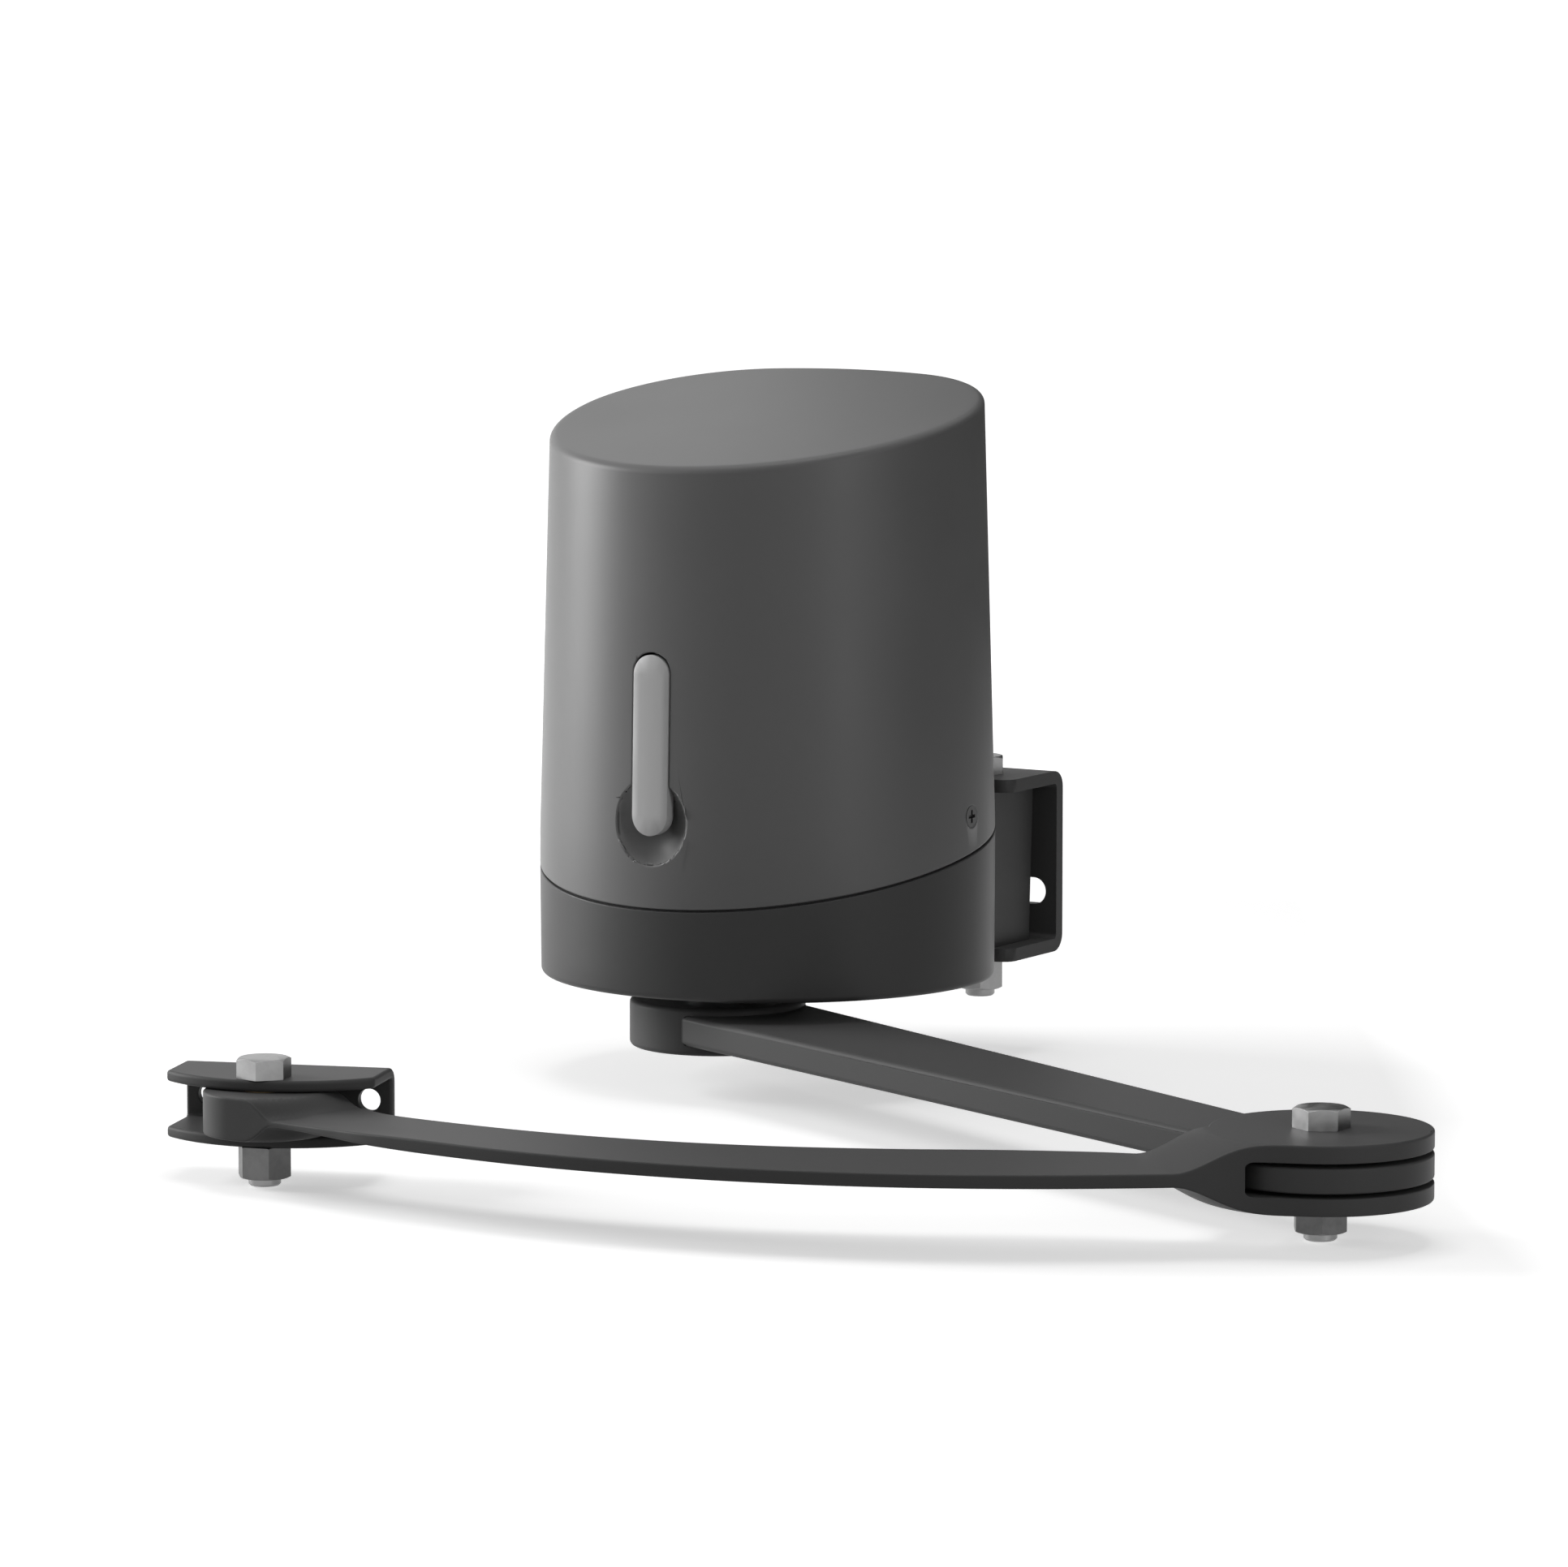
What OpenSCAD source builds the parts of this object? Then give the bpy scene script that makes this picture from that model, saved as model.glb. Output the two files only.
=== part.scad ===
// Swing gate operator with an articulated arm.
// A drafted, slant-topped housing hangs on a wall bracket and turns a straight drive arm.
// A curved arm links the drive arm to a bracket on the gate, and a pull lever frees the drive.
// Origin: centre of the wall bracket's wall face. +Z up, +Y into the wall, millimetres.

/* [Body] */
// Radius of the round front of the body at the seam
front_r = 93; // [90:0.5:96]
// Corner radius of the flatter back, and the depth behind the body axis before its bulge
back_r = 70; // [64:1:74]
// Height of the slanted top above the underside, on the body axis
body_h = 226; // [205:1:250]
// Height of the slanted seam above the underside, on the body axis
seam_h = 53.4; // [50:0.5:58]
// Slope of the top and of the seam, in degrees
slope = 11; // [6:0.5:12]
// Draft of the cover's side, in degrees
cover_draft = 1.6; // [0.5:0.1:2]
// Draft of the skirt's side, in degrees
skirt_draft = 0.45; // [0:0.05:1]
// Wall of the top cover
cover_wall = 3; // [2:0.1:3.4]
// Fillet round the rim of the top
rim_r = 3; // [1.5:0.1:5]
// Wall of the base skirt
skirt_wall = 3; // [2:0.1:3.4]
// Floor of the base skirt
floor_t = 4; // [3:0.1:4.6]
// Fillet round the skirt's lower edge
foot_r = 2.4; // [1:0.1:3]
// Thickness of the seal in the seam
seal_t = 0.8; // [0.5:0.1:1.4]

/* [Release lever] */
// Width of the lever
lever_w = 16; // [14:0.2:18]
// Thickness of the lever
lever_t = 4.5; // [3.5:0.1:5]
// Height of the lever's lower tip above the underside
lever_low = 64.5; // [63:0.5:66]
// Height of the lever's upper end above the underside
lever_high = 135.5; // [134:0.5:138]
// Radius of the finger dish at the surface
dish_r = 17.2; // [16:0.2:18]
// Depth of the finger dish
dish_depth = 9; // [8:0.2:10]
// Height of the dish centre above the underside
dish_z = 70; // [69:0.5:72]
// Travel of the release rod over the lever's full swing
rod_travel = 5; // [3:0.5:5.5]

/* [Arms] */
// Distance from the body axis forward to the output shaft
shaft_fwd = 41.5; // [40:0.5:42]
// Distance between the shaft and the elbow
drive_l = 399; // [360:1:450]
// Distance between the elbow and the gate pivot
link_l = 397; // [360:1:450]
// Radius of the hub
hub_r = 35; // [33:0.5:37]
// Height of the hub
hub_h = 19; // [17:0.5:20]
// Half width of the drive arm at the hub
arm_half_hub = 29.5; // [24:0.5:31]
// Half width of the drive arm at the elbow
arm_half_elbow = 17.9; // [15:0.1:19]
// Thickness of the drive arm
arm_t = 12; // [10:0.5:12]
// Edge fillet of the drive arm
arm_edge = 2; // [1:0.1:2.5]
// Radius of the elbow discs
disc_r = 40; // [38:0.5:42]
// Thickness of each fork plate
fork_plate_t = 6.4; // [5.6:0.1:7]
// Thickness of the tongue disc
tongue_t = 9.1; // [8:0.1:9.6]
// Gap between the tongue and each fork plate
fork_gap = 1.6; // [1:0.1:2]
// Thickness of the curved arm between its ends
link_t = 5; // [4:0.2:6]
// Radius of the curved arm's eye
eye_r = 22.5; // [20:0.5:24]
// Height of the curved arm's eye
eye_h = 16; // [14:0.2:16.4]
// Depth of the arms' middle plane below the housing's underside
arm_drop = 14.4; // [14.2:0.1:16]

/* [Wall bracket] */
// Width of the bracket
bracket_w = 136; // [130:1:150]
// Height of the bracket
bracket_h = 74.6; // [73.8:0.2:75]
// Depth of the bracket, wall face to flange front
bracket_d = 45; // [42:0.5:46]
// Plate thickness of the bracket
plate_t = 5.3; // [4.8:0.1:5.8]
// Outer bend radius of the bracket
bend_r = 7; // [6:0.5:9]
// Sideways distance of each housing bolt from the middle
bolt_x = 45; // [40:0.5:46]
// Distance of the housing bolts from the wall face
bolt_back = 28; // [27:0.5:30]
// Height of the wall slots
slot_w = 11; // [8:0.5:13]
// Length of the wall slots over their round ends
slot_l = 30; // [20:1:34]
// Sideways distance of each slot's centre from the middle
slot_x = 48; // [40:0.5:50]
// Depth of the slots' centre line below the middle of the bracket
slot_drop = 13; // [8:0.5:16]
// Gap between the wall face and the flat back of the body
wall_gap = 49; // [48:0.5:54]

/* [Gate bracket] */
// Width of the gate bracket
gate_w = 80; // [76:1:88]
// Distance from the gate pivot back to the gate face
gate_back = 36; // [34:0.5:40]
// Reach of the plates in front of the pivot, at the middle
gate_front = 9; // [8:0.5:12]
// Rise of the plates' front arc at its ends
gate_arc_rise = 17; // [14:0.5:20]
// Plate thickness of the gate bracket
gate_plate_t = 4.2; // [3.6:0.1:4.3]
// Outer bend radius of the gate bracket
gate_bend_r = 5.5; // [5:0.5:7]
// Diameter of the gate bracket's fixing holes
gate_hole_d = 8.5; // [6:0.5:9]
// Distance between the gate bracket's fixing holes
gate_hole_pitch = 62; // [58:1:64]

/* [Pose] */
// Direction of the drive arm, in degrees from straight sideways
drive_angle = -26.2; // [-60:0.1:-10]
// Angle between the two arms at the elbow, in degrees
elbow_angle = 40.9; // [35:0.1:60]
// Direction of the gate face, in degrees from parallel to the wall
gate_angle = 18.2; // [0:0.1:30]

/* [Hidden] */

// Tessellation of the lofted shells
front_step = 4;
back_step = 5;
bulge_step = 2.5;
$fn = 48;

// General clearances and the one overrun used by every cut
over = 1;
run_fit = 0.05;
seat_fit = 0.1;
air = 0.4;

// Colours
cover_grey = [0.37, 0.37, 0.37];
skirt_grey = [0.20, 0.20, 0.20];
black_paint = [0.15, 0.15, 0.15];
lever_grey = [0.72, 0.72, 0.72];
zinc = [0.74, 0.74, 0.74];
steel = [0.60, 0.60, 0.62];
cast_grey = [0.55, 0.56, 0.57];
bronze = [0.66, 0.52, 0.30];
rubber = [0.10, 0.10, 0.10];
nylon = [0.88, 0.87, 0.82];

// Body frame: origin on the body axis at the underside
body_y = -(wall_gap + back_r);
body_z = -bracket_h / 2 + plate_t - floor_t;
slope_tan = tan(slope);
draft_tan = tan(cover_draft);
skirt_tan = tan(skirt_draft);
side_x = front_r - back_r;
seal_inset = 1.1;

// Direction in which the back's corners meet its flat bulge, and the bulge's arc
bulge_turn = 80;
bulge_r = back_r + side_x / cos(bulge_turn);
bulge_y = -side_x * tan(bulge_turn);

// Metric hardware, M12 unless said otherwise
m12_d = 12;
m12_af = 18;
m12_head = 7.5;
m12_nut = 12;
m12_washer_r = 12;
m12_washer_t = 2;
m12_tip = 3;
m12_hole_fit = 0.5;
tip_chamfer = 0.8;

// Gear train: modules, teeth and faces from the output wheel back to the motor
tooth_share = 0.46;
addendum_share = 0.8;
dedendum_share = 1.1;
pressure = 20;
out_module = 2;
out_teeth = 38;
low_pinion_teeth = 13;
mid_module = 1.25;
mid_teeth = 40;
mid_pinion_teeth = 12;
high_module = 1;
high_teeth = 40;
motor_teeth = 12;
out_face = 14;
mid_face = 8;
high_face = 7;
pinion_extra = 1;
out_z = 14.5;
mid_z = 33;
high_z = 46;
tip_air = 2.9;
case_wall = 4;
chassis_floor_t = 5;
case_top = 58;
lid_t = 6;
lid_top = case_top + lid_t;

// Plan of the shafts, in the body frame
motor_back = 26;
shaft_p = [0, -shaft_fwd];
low_p = shaft_p + [0, out_module * (out_teeth + low_pinion_teeth) / 2];
motor_p = [0, motor_back];
mid_span = mid_module * (mid_teeth + mid_pinion_teeth) / 2;
high_span = high_module * (high_teeth + motor_teeth) / 2;
low_motor = norm(motor_p - low_p);
high_y = (mid_span * mid_span - high_span * high_span + low_motor * low_motor) / (2 * low_motor);
high_p = low_p + [sqrt(mid_span * mid_span - high_y * high_y), high_y];

// Output shaft
shaft_r = 12.5;
journal_r = 10;
shoulder_z = 30;
bush_wall = 3.5;
boss_wall = 3.5;
boss_drop = 3;
seal_h = 3.8;
bush_gap = 0.2;
collar_r = 17;
collar_core_r = 14;
collar_z = 38;
collar_h = 19;
collar_rim = 3;
key_w = 6;
key_h = 3;
hub_screw_af = 17;
hub_screw_head = 5.5;
hub_screw_d = 10;
hub_screw_l = 22;
hub_washer_r = 14.5;
hub_washer_t = 2;
hub_pocket_r = 15;
hub_pocket = 8.4;

// Idlers and motor pinion
idler_r = 5;
idler_bush_wall = 2.2;
idler_boss = 3;
idler_boss_top = floor_t + chassis_floor_t + idler_boss;
idler_end = 0.4;
pinion_shaft_r = 4;
pinion_grip = 10;
passage_air = 2.2;

// Motor unit
head_r = 30;
head_h = 28;
can_r = 27;
can_h = 80;
cap_r = 24;
cap_h = 8;
head_hole_r = 23;
head_hole_turn = 40;
lid_flange = 2;
motor_edge = 2;

// Release linkage
pin_below_top = 16;
pin_depth = 7.6;
pin_r = 2;
cradle_screw_l = 8;
knuckle_r = 4.5;
knuckle_w = 12;
cam_r = 5;
cam_w = 8;
cam_play = 1.8;
rod_r = 3;
rod_y = -70;
yoke_w = 8;
yoke_t = 3;
yoke_reach = 15;
fork_z = 50.5;
fork_t = 3;
fork_w = 34;
fork_tine = 5;
guide_wall = 2.5;
guide_h = 14;
cradle_w = 26;
cradle_low = 90;
cradle_high = 142;
cradle_front = -86.2;
cradle_back = -63;
cradle_wall = 3;
ear_w = 42;
ear_h = 16;
ear_z = 102;
ear_front = -78;
post_r = 3.6;
post_x = 17;
lever_gap = 0.35;
lever_proud = 0.3;

// Screws
cover_screw_d = 5;
cover_screw_head = 8.6;
cover_screw_cone = 2.4;
cover_screw_l = 15;
cover_screw_z = 68.2;
small_screw_d = 4;
small_head_d = 7;
small_head_h = 2.2;
small_screw_l = 12;
lid_boss_r = 4.5;
foot_post_r = 5;
foot_post_h = 14;
foot_screw_x = 60;
foot_screw_front = 38;
foot_screw_rear = 34;
recess_fit = 0.5;
recess_span_share = 0.6;
recess_depth_share = 0.5;

// Chassis
chassis_air = 0.5;
lug_x = 60;
lug_step = 3;
lug_back_low = 14;
lug_back_high = 17;
lug_front_in = 18;
lug_skin_in = 11.5;
screw_ear_t = 4;
screw_ear_w = 20;
screw_ear_top = 78;
screw_ear_x = 88.2;
grommet_r = 8;
grommet_lip = 2;
grommet_bore = 4.5;
grommet_rim_t = 1.2;
grommet_x = -45;
grommet_y = 35;
block_w = 18;
block_l = 36;
block_h = 16;
block_x = -49;
block_y = 6;
block_hole = 3;
block_ways = 4;

// Elbow, eye and brackets
hub_sink = 0.5;
slot_air = 3.2;
tongue_step = 2.4;
bush_t = 2;
edge_soft = 1.5;
fork_flare = 26;
eye_flare_near = 11.5;
eye_flare_far = 40;
blade_t = 2.2;
blade_run = 80;
corner_cut = 6;

fork_h = 2 * fork_plate_t + 2 * fork_gap + tongue_t;
slot_h = tongue_t + 2 * fork_gap;
hub_top = -arm_drop - hub_sink + hub_h / 2;

function at_slope(h, y) = h + slope_tan * y;

// One entry for each point round the plan: arc centre, arc radius, direction
function arc_run(c, r, a0, a1, step) =
    [for (a = [a0:step:a1]) [c, r, [cos(a), sin(a)]]];
plan_run = concat(
    arc_run([0, 0], front_r, 180, 360, front_step),
    arc_run([side_x, 0], back_r, back_step, bulge_turn, back_step),
    arc_run([0, bulge_y], bulge_r, bulge_turn + bulge_step, 180 - bulge_turn - bulge_step, bulge_step),
    arc_run([-side_x, 0], back_r, 180 - bulge_turn, 180 - back_step, back_step)
);

// A plan point moved outward by an offset
function plan_at(s, o) = s[0] + (s[1] + o) * s[2];
function side_offset(z) = z > seam_h ? -draft_tan * (z - seam_h) : skirt_tan * (z - seam_h);

// Ring on a slanted plane whose height on the axis is h, set in from the drafted side
function slant_ring(h, inset) = [for (s = plan_run)
    let (p = plan_at(s, side_offset(h) - inset),
         q = plan_at(s, side_offset(at_slope(h, p.y)) - inset))
    [q.x, q.y, at_slope(h, q.y)]];
// Ring on a level plane
function level_ring(z, inset) = [for (s = plan_run)
    let (p = plan_at(s, side_offset(z) - inset)) [p.x, p.y, z]];

// Solid through a stack of rings that all have the same number of points
module loft(rings) {
    n = len(rings[0]);
    top = (len(rings) - 1) * n;
    points = [for (r = rings) each r];
    side = [for (k = [0:len(rings) - 2], i = [0:n - 1])
        let (a = k * n + i, b = k * n + (i + 1) % n)
        each [[a, a + n, b + n], [a, b + n, b]]];
    polyhedron(points, concat([[for (i = [0:n - 1]) i]], side,
        [[for (i = [n - 1:-1:0]) top + i]]), convexity = 6);
}

// Exact plan of the body, moved inward
module plan_2d(inset) {
    r = back_r - inset;
    intersection() {
        circle(front_r - inset, $fn = 96);
        translate([-front_r, -front_r]) square([2 * front_r, front_r]);
    }
    for (s = [-1, 1]) intersection() {
        translate([s * side_x, 0]) circle(r, $fn = 96);
        translate([s > 0 ? side_x : -front_r, 0]) square([back_r, back_r]);
    }
    translate([-side_x, -over]) square([2 * side_x, r + over]);
}

module in_body() {
    translate([0, body_y, body_z]) children();
}

// Frames of the moving links, each with its pivot at the origin
module in_drive() {
    in_body() translate([shaft_p.x, shaft_p.y, 0]) rotate(drive_angle) children();
}
module in_elbow() {
    in_drive() translate([drive_l, 0, -arm_drop]) rotate(180 + elbow_angle) children();
}
gate_turn = gate_angle - drive_angle - elbow_angle - 180;
module in_gate() {
    in_elbow() translate([link_l, 0, 0]) rotate(gate_turn) children();
}

// Involute spur gear
function inv_deg(r, base) = let (a = acos(min(1, base / r))) tan(a) * 180 / PI - a;
function half_tooth(r, m, n) = let (pitch = m * n / 2, base = pitch * cos(pressure))
    180 / n * tooth_share + inv_deg(pitch, base) - inv_deg(max(r, base), base);
function tooth_ring(m, n) =
    let (pitch = m * n / 2, root = pitch - dedendum_share * m, tip = pitch + addendum_share * m,
         radii = [root, pitch, tip])
    [for (i = [0:n - 1], side = [-1, 1], k = [0:2])
        let (r = side < 0 ? radii[k] : radii[2 - k], a = i * 360 / n + side * half_tooth(r, m, n))
        r * [cos(a), sin(a)]];
module spur(m, n, face, turn) {
    rotate(turn) linear_extrude(face) polygon(tooth_ring(m, n));
}

// Fasteners: heads and nuts stand on the plane z = 0
module hex_block(af, h, edge) {
    corner = af / sqrt(3);
    intersection() {
        cylinder(h = h, r = corner, $fn = 6);
        union() {
            cylinder(h = h - edge, r = corner + over);
            translate([0, 0, h - edge]) cylinder(h = edge, r1 = corner, r2 = corner - 2 * edge);
        }
    }
}
module hex_bolt(d, af, head, length) {
    hex_block(af, head, head / 8);
    translate([0, 0, -length + tip_chamfer]) cylinder(h = length - tip_chamfer + head / 2, d = d);
    translate([0, 0, -length]) cylinder(h = tip_chamfer, d1 = d - 2 * tip_chamfer, d2 = d);
}
module ring(r_out, r_in, h) {
    difference() {
        cylinder(h = h, r = r_out);
        translate([0, 0, -over]) cylinder(h = h + 2 * over, r = r_in);
    }
}
module lock_nut(d, af, h) {
    difference() {
        hex_block(af, h, h / 10);
        translate([0, 0, -over]) cylinder(h = h + 2 * over, r = d / 2 + run_fit);
    }
}
module cross_screw(length) {
    difference() {
        union() {
            cylinder(h = small_head_h, d = small_head_d);
            translate([0, 0, -length]) cylinder(h = length + small_head_h / 2, d = small_screw_d);
        }
        translate([0, 0, small_head_h])
            cross_recess(small_head_d * recess_span_share, small_head_h * recess_depth_share);
    }
}

// Surface radius of the round front at a height above the underside
function front_at(z) = front_r + side_offset(z);
module stadium_prism(w, z0, z1, depth) {
    rotate([90, 0, 0]) linear_extrude(depth) {
        translate([0, z0 + w / 2]) circle(d = w);
        translate([0, z1 - w / 2]) circle(d = w);
        translate([-w / 2, z0 + w / 2]) square([w, z1 - z0 - w]);
    }
}

// Cone that follows the round front over the lever's height, grown by an offset
module front_cone(grow) {
    z0 = lever_low - 2 * over;
    z1 = lever_high + 2 * over;
    translate([0, 0, z0]) cylinder(h = z1 - z0, r1 = front_at(z0) + grow, r2 = front_at(z1) + grow, $fn = 96);
}

dish_ball_r = (dish_r * dish_r + dish_depth * dish_depth) / (2 * dish_depth);
dish_y = -(front_at(dish_z) - dish_depth + dish_ball_r);
slot_low = dish_z + dish_r / 2;
pin_z = lever_high - pin_below_top;
pin_y = -(front_at(pin_z) - pin_depth);
bowl_back = dish_y + dish_ball_r + cover_wall;
case_front = bowl_back + 2 * air;
case_step = dish_z - dish_ball_r - cover_wall - 2 * air;

module cover_outer(inset, h_low, h_high, r) {
    loft(concat(
        [slant_ring(h_low, inset)],
        [for (t = [0:15:90]) slant_ring(h_high - r * (1 - sin(t)), inset + r * (1 - cos(t)))]
    ));
}

// Room behind the slot's edge for the lever's round end to swing about its pin
function swing_r(a) = norm([pin_below_top - lever_w / 2 * (1 - cos(a)), pin_depth + lever_proud]);
module swing_room() {
    half = lever_w / 2 + lever_gap;
    translate([0, pin_y, pin_z]) rotate([0, 90, 0]) rotate_extrude($fn = 64) polygon(concat(
        [[0, -half]], [for (a = [-90:15:90]) [swing_r(a) + lever_gap, half * sin(a)]], [[0, half]]
    ));
}

module countersink() {
    rotate([0, 90, 0]) {
        translate([0, 0, -cover_screw_l]) cylinder(h = 2 * cover_screw_l, d = cover_screw_d + seat_fit * 4);
        translate([0, 0, -cover_screw_cone]) cylinder(h = cover_screw_cone + over,
            d1 = cover_screw_d, d2 = cover_screw_head + 2 * over + seat_fit * 4);
    }
}

module top_cover() {
    inner_r = max(rim_r - cover_wall, 0) + rim_r / 3;
    color(cover_grey) in_body() difference() {
        union() {
            difference() {
                cover_outer(0, seam_h + seal_t / 2, body_h, rim_r);
                cover_outer(cover_wall, seam_h - over, body_h - cover_wall, inner_r);
            }
            // bowl behind the finger dish, and the posts that carry the lever's cradle
            intersection() {
                cover_outer(cover_wall / 2, seam_h + seal_t, body_h - cover_wall, inner_r);
                union() {
                    translate([0, dish_y, dish_z]) sphere(dish_ball_r + cover_wall);
                    for (s = [-1, 1]) translate([s * post_x, ear_front, ear_z + ear_h / 2])
                        rotate([90, 0, 0]) cylinder(h = front_r + ear_front, r = post_r, $fn = 24);
                }
            }
        }
        translate([0, dish_y, dish_z]) sphere(dish_ball_r);
        // through slot that the lever fills
        translate([0, -front_r + 4 * cover_wall, 0])
            stadium_prism(lever_w + 2 * lever_gap, slot_low, lever_high + lever_gap, 4 * cover_wall + over);
        // seat of the blade across the dish, and room for its round end to swing
        difference() {
            translate([0, -front_r + 4 * cover_wall, 0]) stadium_prism(lever_w + 2 * lever_gap,
                lever_low - lever_gap, lever_high, 4 * cover_wall + over);
            front_cone(-lever_t - air);
        }
        swing_room();
        // countersunk screws, one each side
        for (s = [0, 180]) rotate(s) translate([front_at(cover_screw_z), 0, cover_screw_z]) countersink();
        // pilot holes in the posts
        for (s = [-1, 1]) translate([s * post_x, ear_front + over, ear_z + ear_h / 2])
            rotate([90, 0, 0])
                cylinder(h = cradle_screw_l, d = small_screw_d + seat_fit * 2, $fn = 24);
    }
}

module base_skirt() {
    color(skirt_grey) in_body() difference() {
        loft(concat(
            [for (t = [0:22.5:90]) level_ring(foot_r * (1 - cos(t)), foot_r * (1 - sin(t)))],
            [slant_ring(seam_h - seal_t / 2, 0)]
        ));
        loft([level_ring(floor_t, skirt_wall), slant_ring(seam_h + over, skirt_wall)]);
        // clearance round the shaft boss
        translate([shaft_p.x, shaft_p.y, -over])
            cylinder(h = floor_t + 2 * over, r = shaft_r + bush_wall + boss_wall + air);
        // opening for the lug at the back
        lug_opening();
        // cable entry
        translate([grommet_x, grommet_y, -over]) cylinder(h = floor_t + 2 * over, r = grommet_r + seat_fit);
        foot_screw_places() {
            translate([0, 0, -over]) cylinder(h = floor_t + 2 * over, d = small_screw_d + seat_fit * 2);
            translate([0, 0, -over]) cylinder(h = small_head_h + over, d = small_head_d + recess_fit);
        }
    }
}

module lug_opening() {
    translate([-lug_x - air, back_r - lug_front_in, floor_t]) cube([2 * lug_x + 2 * air, back_r, body_h]);
}
module foot_screw_places() {
    for (s = [-1, 1], y = [-foot_screw_front, foot_screw_rear])
        translate([s * foot_screw_x, y, 0]) children();
}

module cover_seal() {
    color(rubber) in_body() difference() {
        loft([slant_ring(seam_h - seal_t / 2, seal_inset), slant_ring(seam_h + seal_t / 2, seal_inset)]);
        loft([slant_ring(seam_h - over, skirt_wall), slant_ring(seam_h + over, skirt_wall)]);
        lug_opening();
    }
}

module cover_screws() {
    head_x = front_at(cover_screw_z) - seat_fit;
    color(cover_grey) in_body() for (s = [0, 180]) rotate(s)
        translate([head_x, 0, cover_screw_z]) rotate([0, 90, 0]) difference() {
            union() {
                translate([0, 0, -cover_screw_cone])
                    cylinder(h = cover_screw_cone, d1 = cover_screw_d, d2 = cover_screw_head);
                translate([0, 0, -cover_screw_l])
                    cylinder(h = cover_screw_l - cover_screw_cone, d = cover_screw_d);
            }
            cross_recess(cover_screw_head * recess_span_share, cover_screw_cone * recess_depth_share);
        }
}
module cross_recess(span, depth) {
    w = span / 4;
    for (a = [0, 90]) rotate(a) translate([-span / 2, -w / 2, -depth]) cube([span, w, depth + over]);
}

// Gear case outline: overlapping rounds about the shafts, grown by a margin
function tip_r(m, n) = m * (n / 2 + addendum_share);
out_wall = tip_r(out_module, out_teeth) + tip_air + case_wall;
high_wall = tip_r(high_module, high_teeth) + tip_air + case_wall;
module case_2d(grow) {
    translate(shaft_p) circle(tip_r(out_module, out_teeth) + tip_air + grow, $fn = 96);
    translate(low_p) circle(tip_r(mid_module, mid_teeth) + tip_air + grow);
    translate(high_p) circle(tip_r(high_module, high_teeth) + tip_air + grow);
    translate(motor_p) circle(tip_r(high_module, motor_teeth) + tip_air + grow);
}
module lid_screw_places() {
    for (s = [-1, 1]) {
        translate(shaft_p + out_wall * [s * cos(30), -sin(30)]) children();
        translate([s * (out_wall - 3 * lid_boss_r), 0]) children();
    }
    translate(high_p + (high_wall + over) * [cos(45), sin(45)]) children();
    translate(motor_p + (head_r + lid_boss_r) * [-cos(30), sin(30)]) children();
}
module shaft_places() {
    translate(low_p) children();
    translate(high_p) children();
}

// Space in front of the case's upper part, where the cover's bowl reaches in
module front_room(y, z) {
    translate([-front_r, y - 2 * front_r, z]) cube([2 * front_r, 2 * front_r, body_h]);
}

// Chassis: floor, gear case, bearing bosses, the lug at the back and the cover's screw ears
module chassis() {
    boss_r = shaft_r + bush_wall + boss_wall;
    color(skirt_grey) in_body() difference() {
        union() {
            translate([0, 0, floor_t]) linear_extrude(chassis_floor_t) plan_2d(skirt_wall + chassis_air);
            difference() {
                translate([0, 0, floor_t]) linear_extrude(case_top - floor_t) case_2d(case_wall);
                front_room(case_front, case_step);
            }
            translate([0, 0, floor_t]) linear_extrude(case_top - floor_t)
                lid_screw_places() circle(lid_boss_r);
            translate([shaft_p.x, shaft_p.y, -boss_drop])
                cylinder(h = floor_t + boss_drop + over, r = boss_r);
            foot_screw_places() translate([0, 0, floor_t]) cylinder(h = foot_post_h, r = foot_post_r);
            lug();
            for (s = [-1, 1])
                translate([s * (screw_ear_x - screw_ear_t / 2), 0, (floor_t + screw_ear_top) / 2]) cube(
                    [screw_ear_t, screw_ear_w, screw_ear_top - floor_t], center = true);
        }
        difference() {
            translate([0, 0, floor_t + chassis_floor_t]) linear_extrude(case_top) case_2d(0);
            translate([shaft_p.x, shaft_p.y, 0]) cylinder(h = out_z - air, r = boss_r);
            shaft_places() cylinder(h = idler_boss_top, r = idler_r + idler_bush_wall + boss_wall);
            front_room(case_front + case_wall, case_step - case_wall);
        }
        translate([shaft_p.x, shaft_p.y, -boss_drop - over])
            cylinder(h = out_z + boss_drop + 2 * over, r = shaft_r + bush_wall + run_fit);
        shaft_places() translate([0, 0, floor_t - over])
            cylinder(h = case_top, r = idler_r + idler_bush_wall + run_fit);
        lid_screw_places() translate([0, 0, case_top - small_screw_l])
            cylinder(h = small_screw_l + over, d = small_screw_d + seat_fit);
        foot_screw_places() translate([0, 0, floor_t - over])
            cylinder(h = small_screw_l + over, d = small_screw_d + seat_fit);
        for (s = [0, 180]) rotate(s) translate([screw_ear_x - 2 * screw_ear_t, 0, cover_screw_z])
            rotate([0, 90, 0]) cylinder(h = 3 * screw_ear_t, d = cover_screw_d + seat_fit);
        for (s = [-1, 1]) translate([s * bolt_x, -body_y - bolt_back, floor_t - over])
            cylinder(h = body_h, d = m12_d + m12_hole_fit);
        translate([grommet_x, grommet_y, floor_t - over])
            cylinder(h = chassis_floor_t + 2 * over, r = grommet_r + grommet_lip / 2);
    }
}
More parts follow.
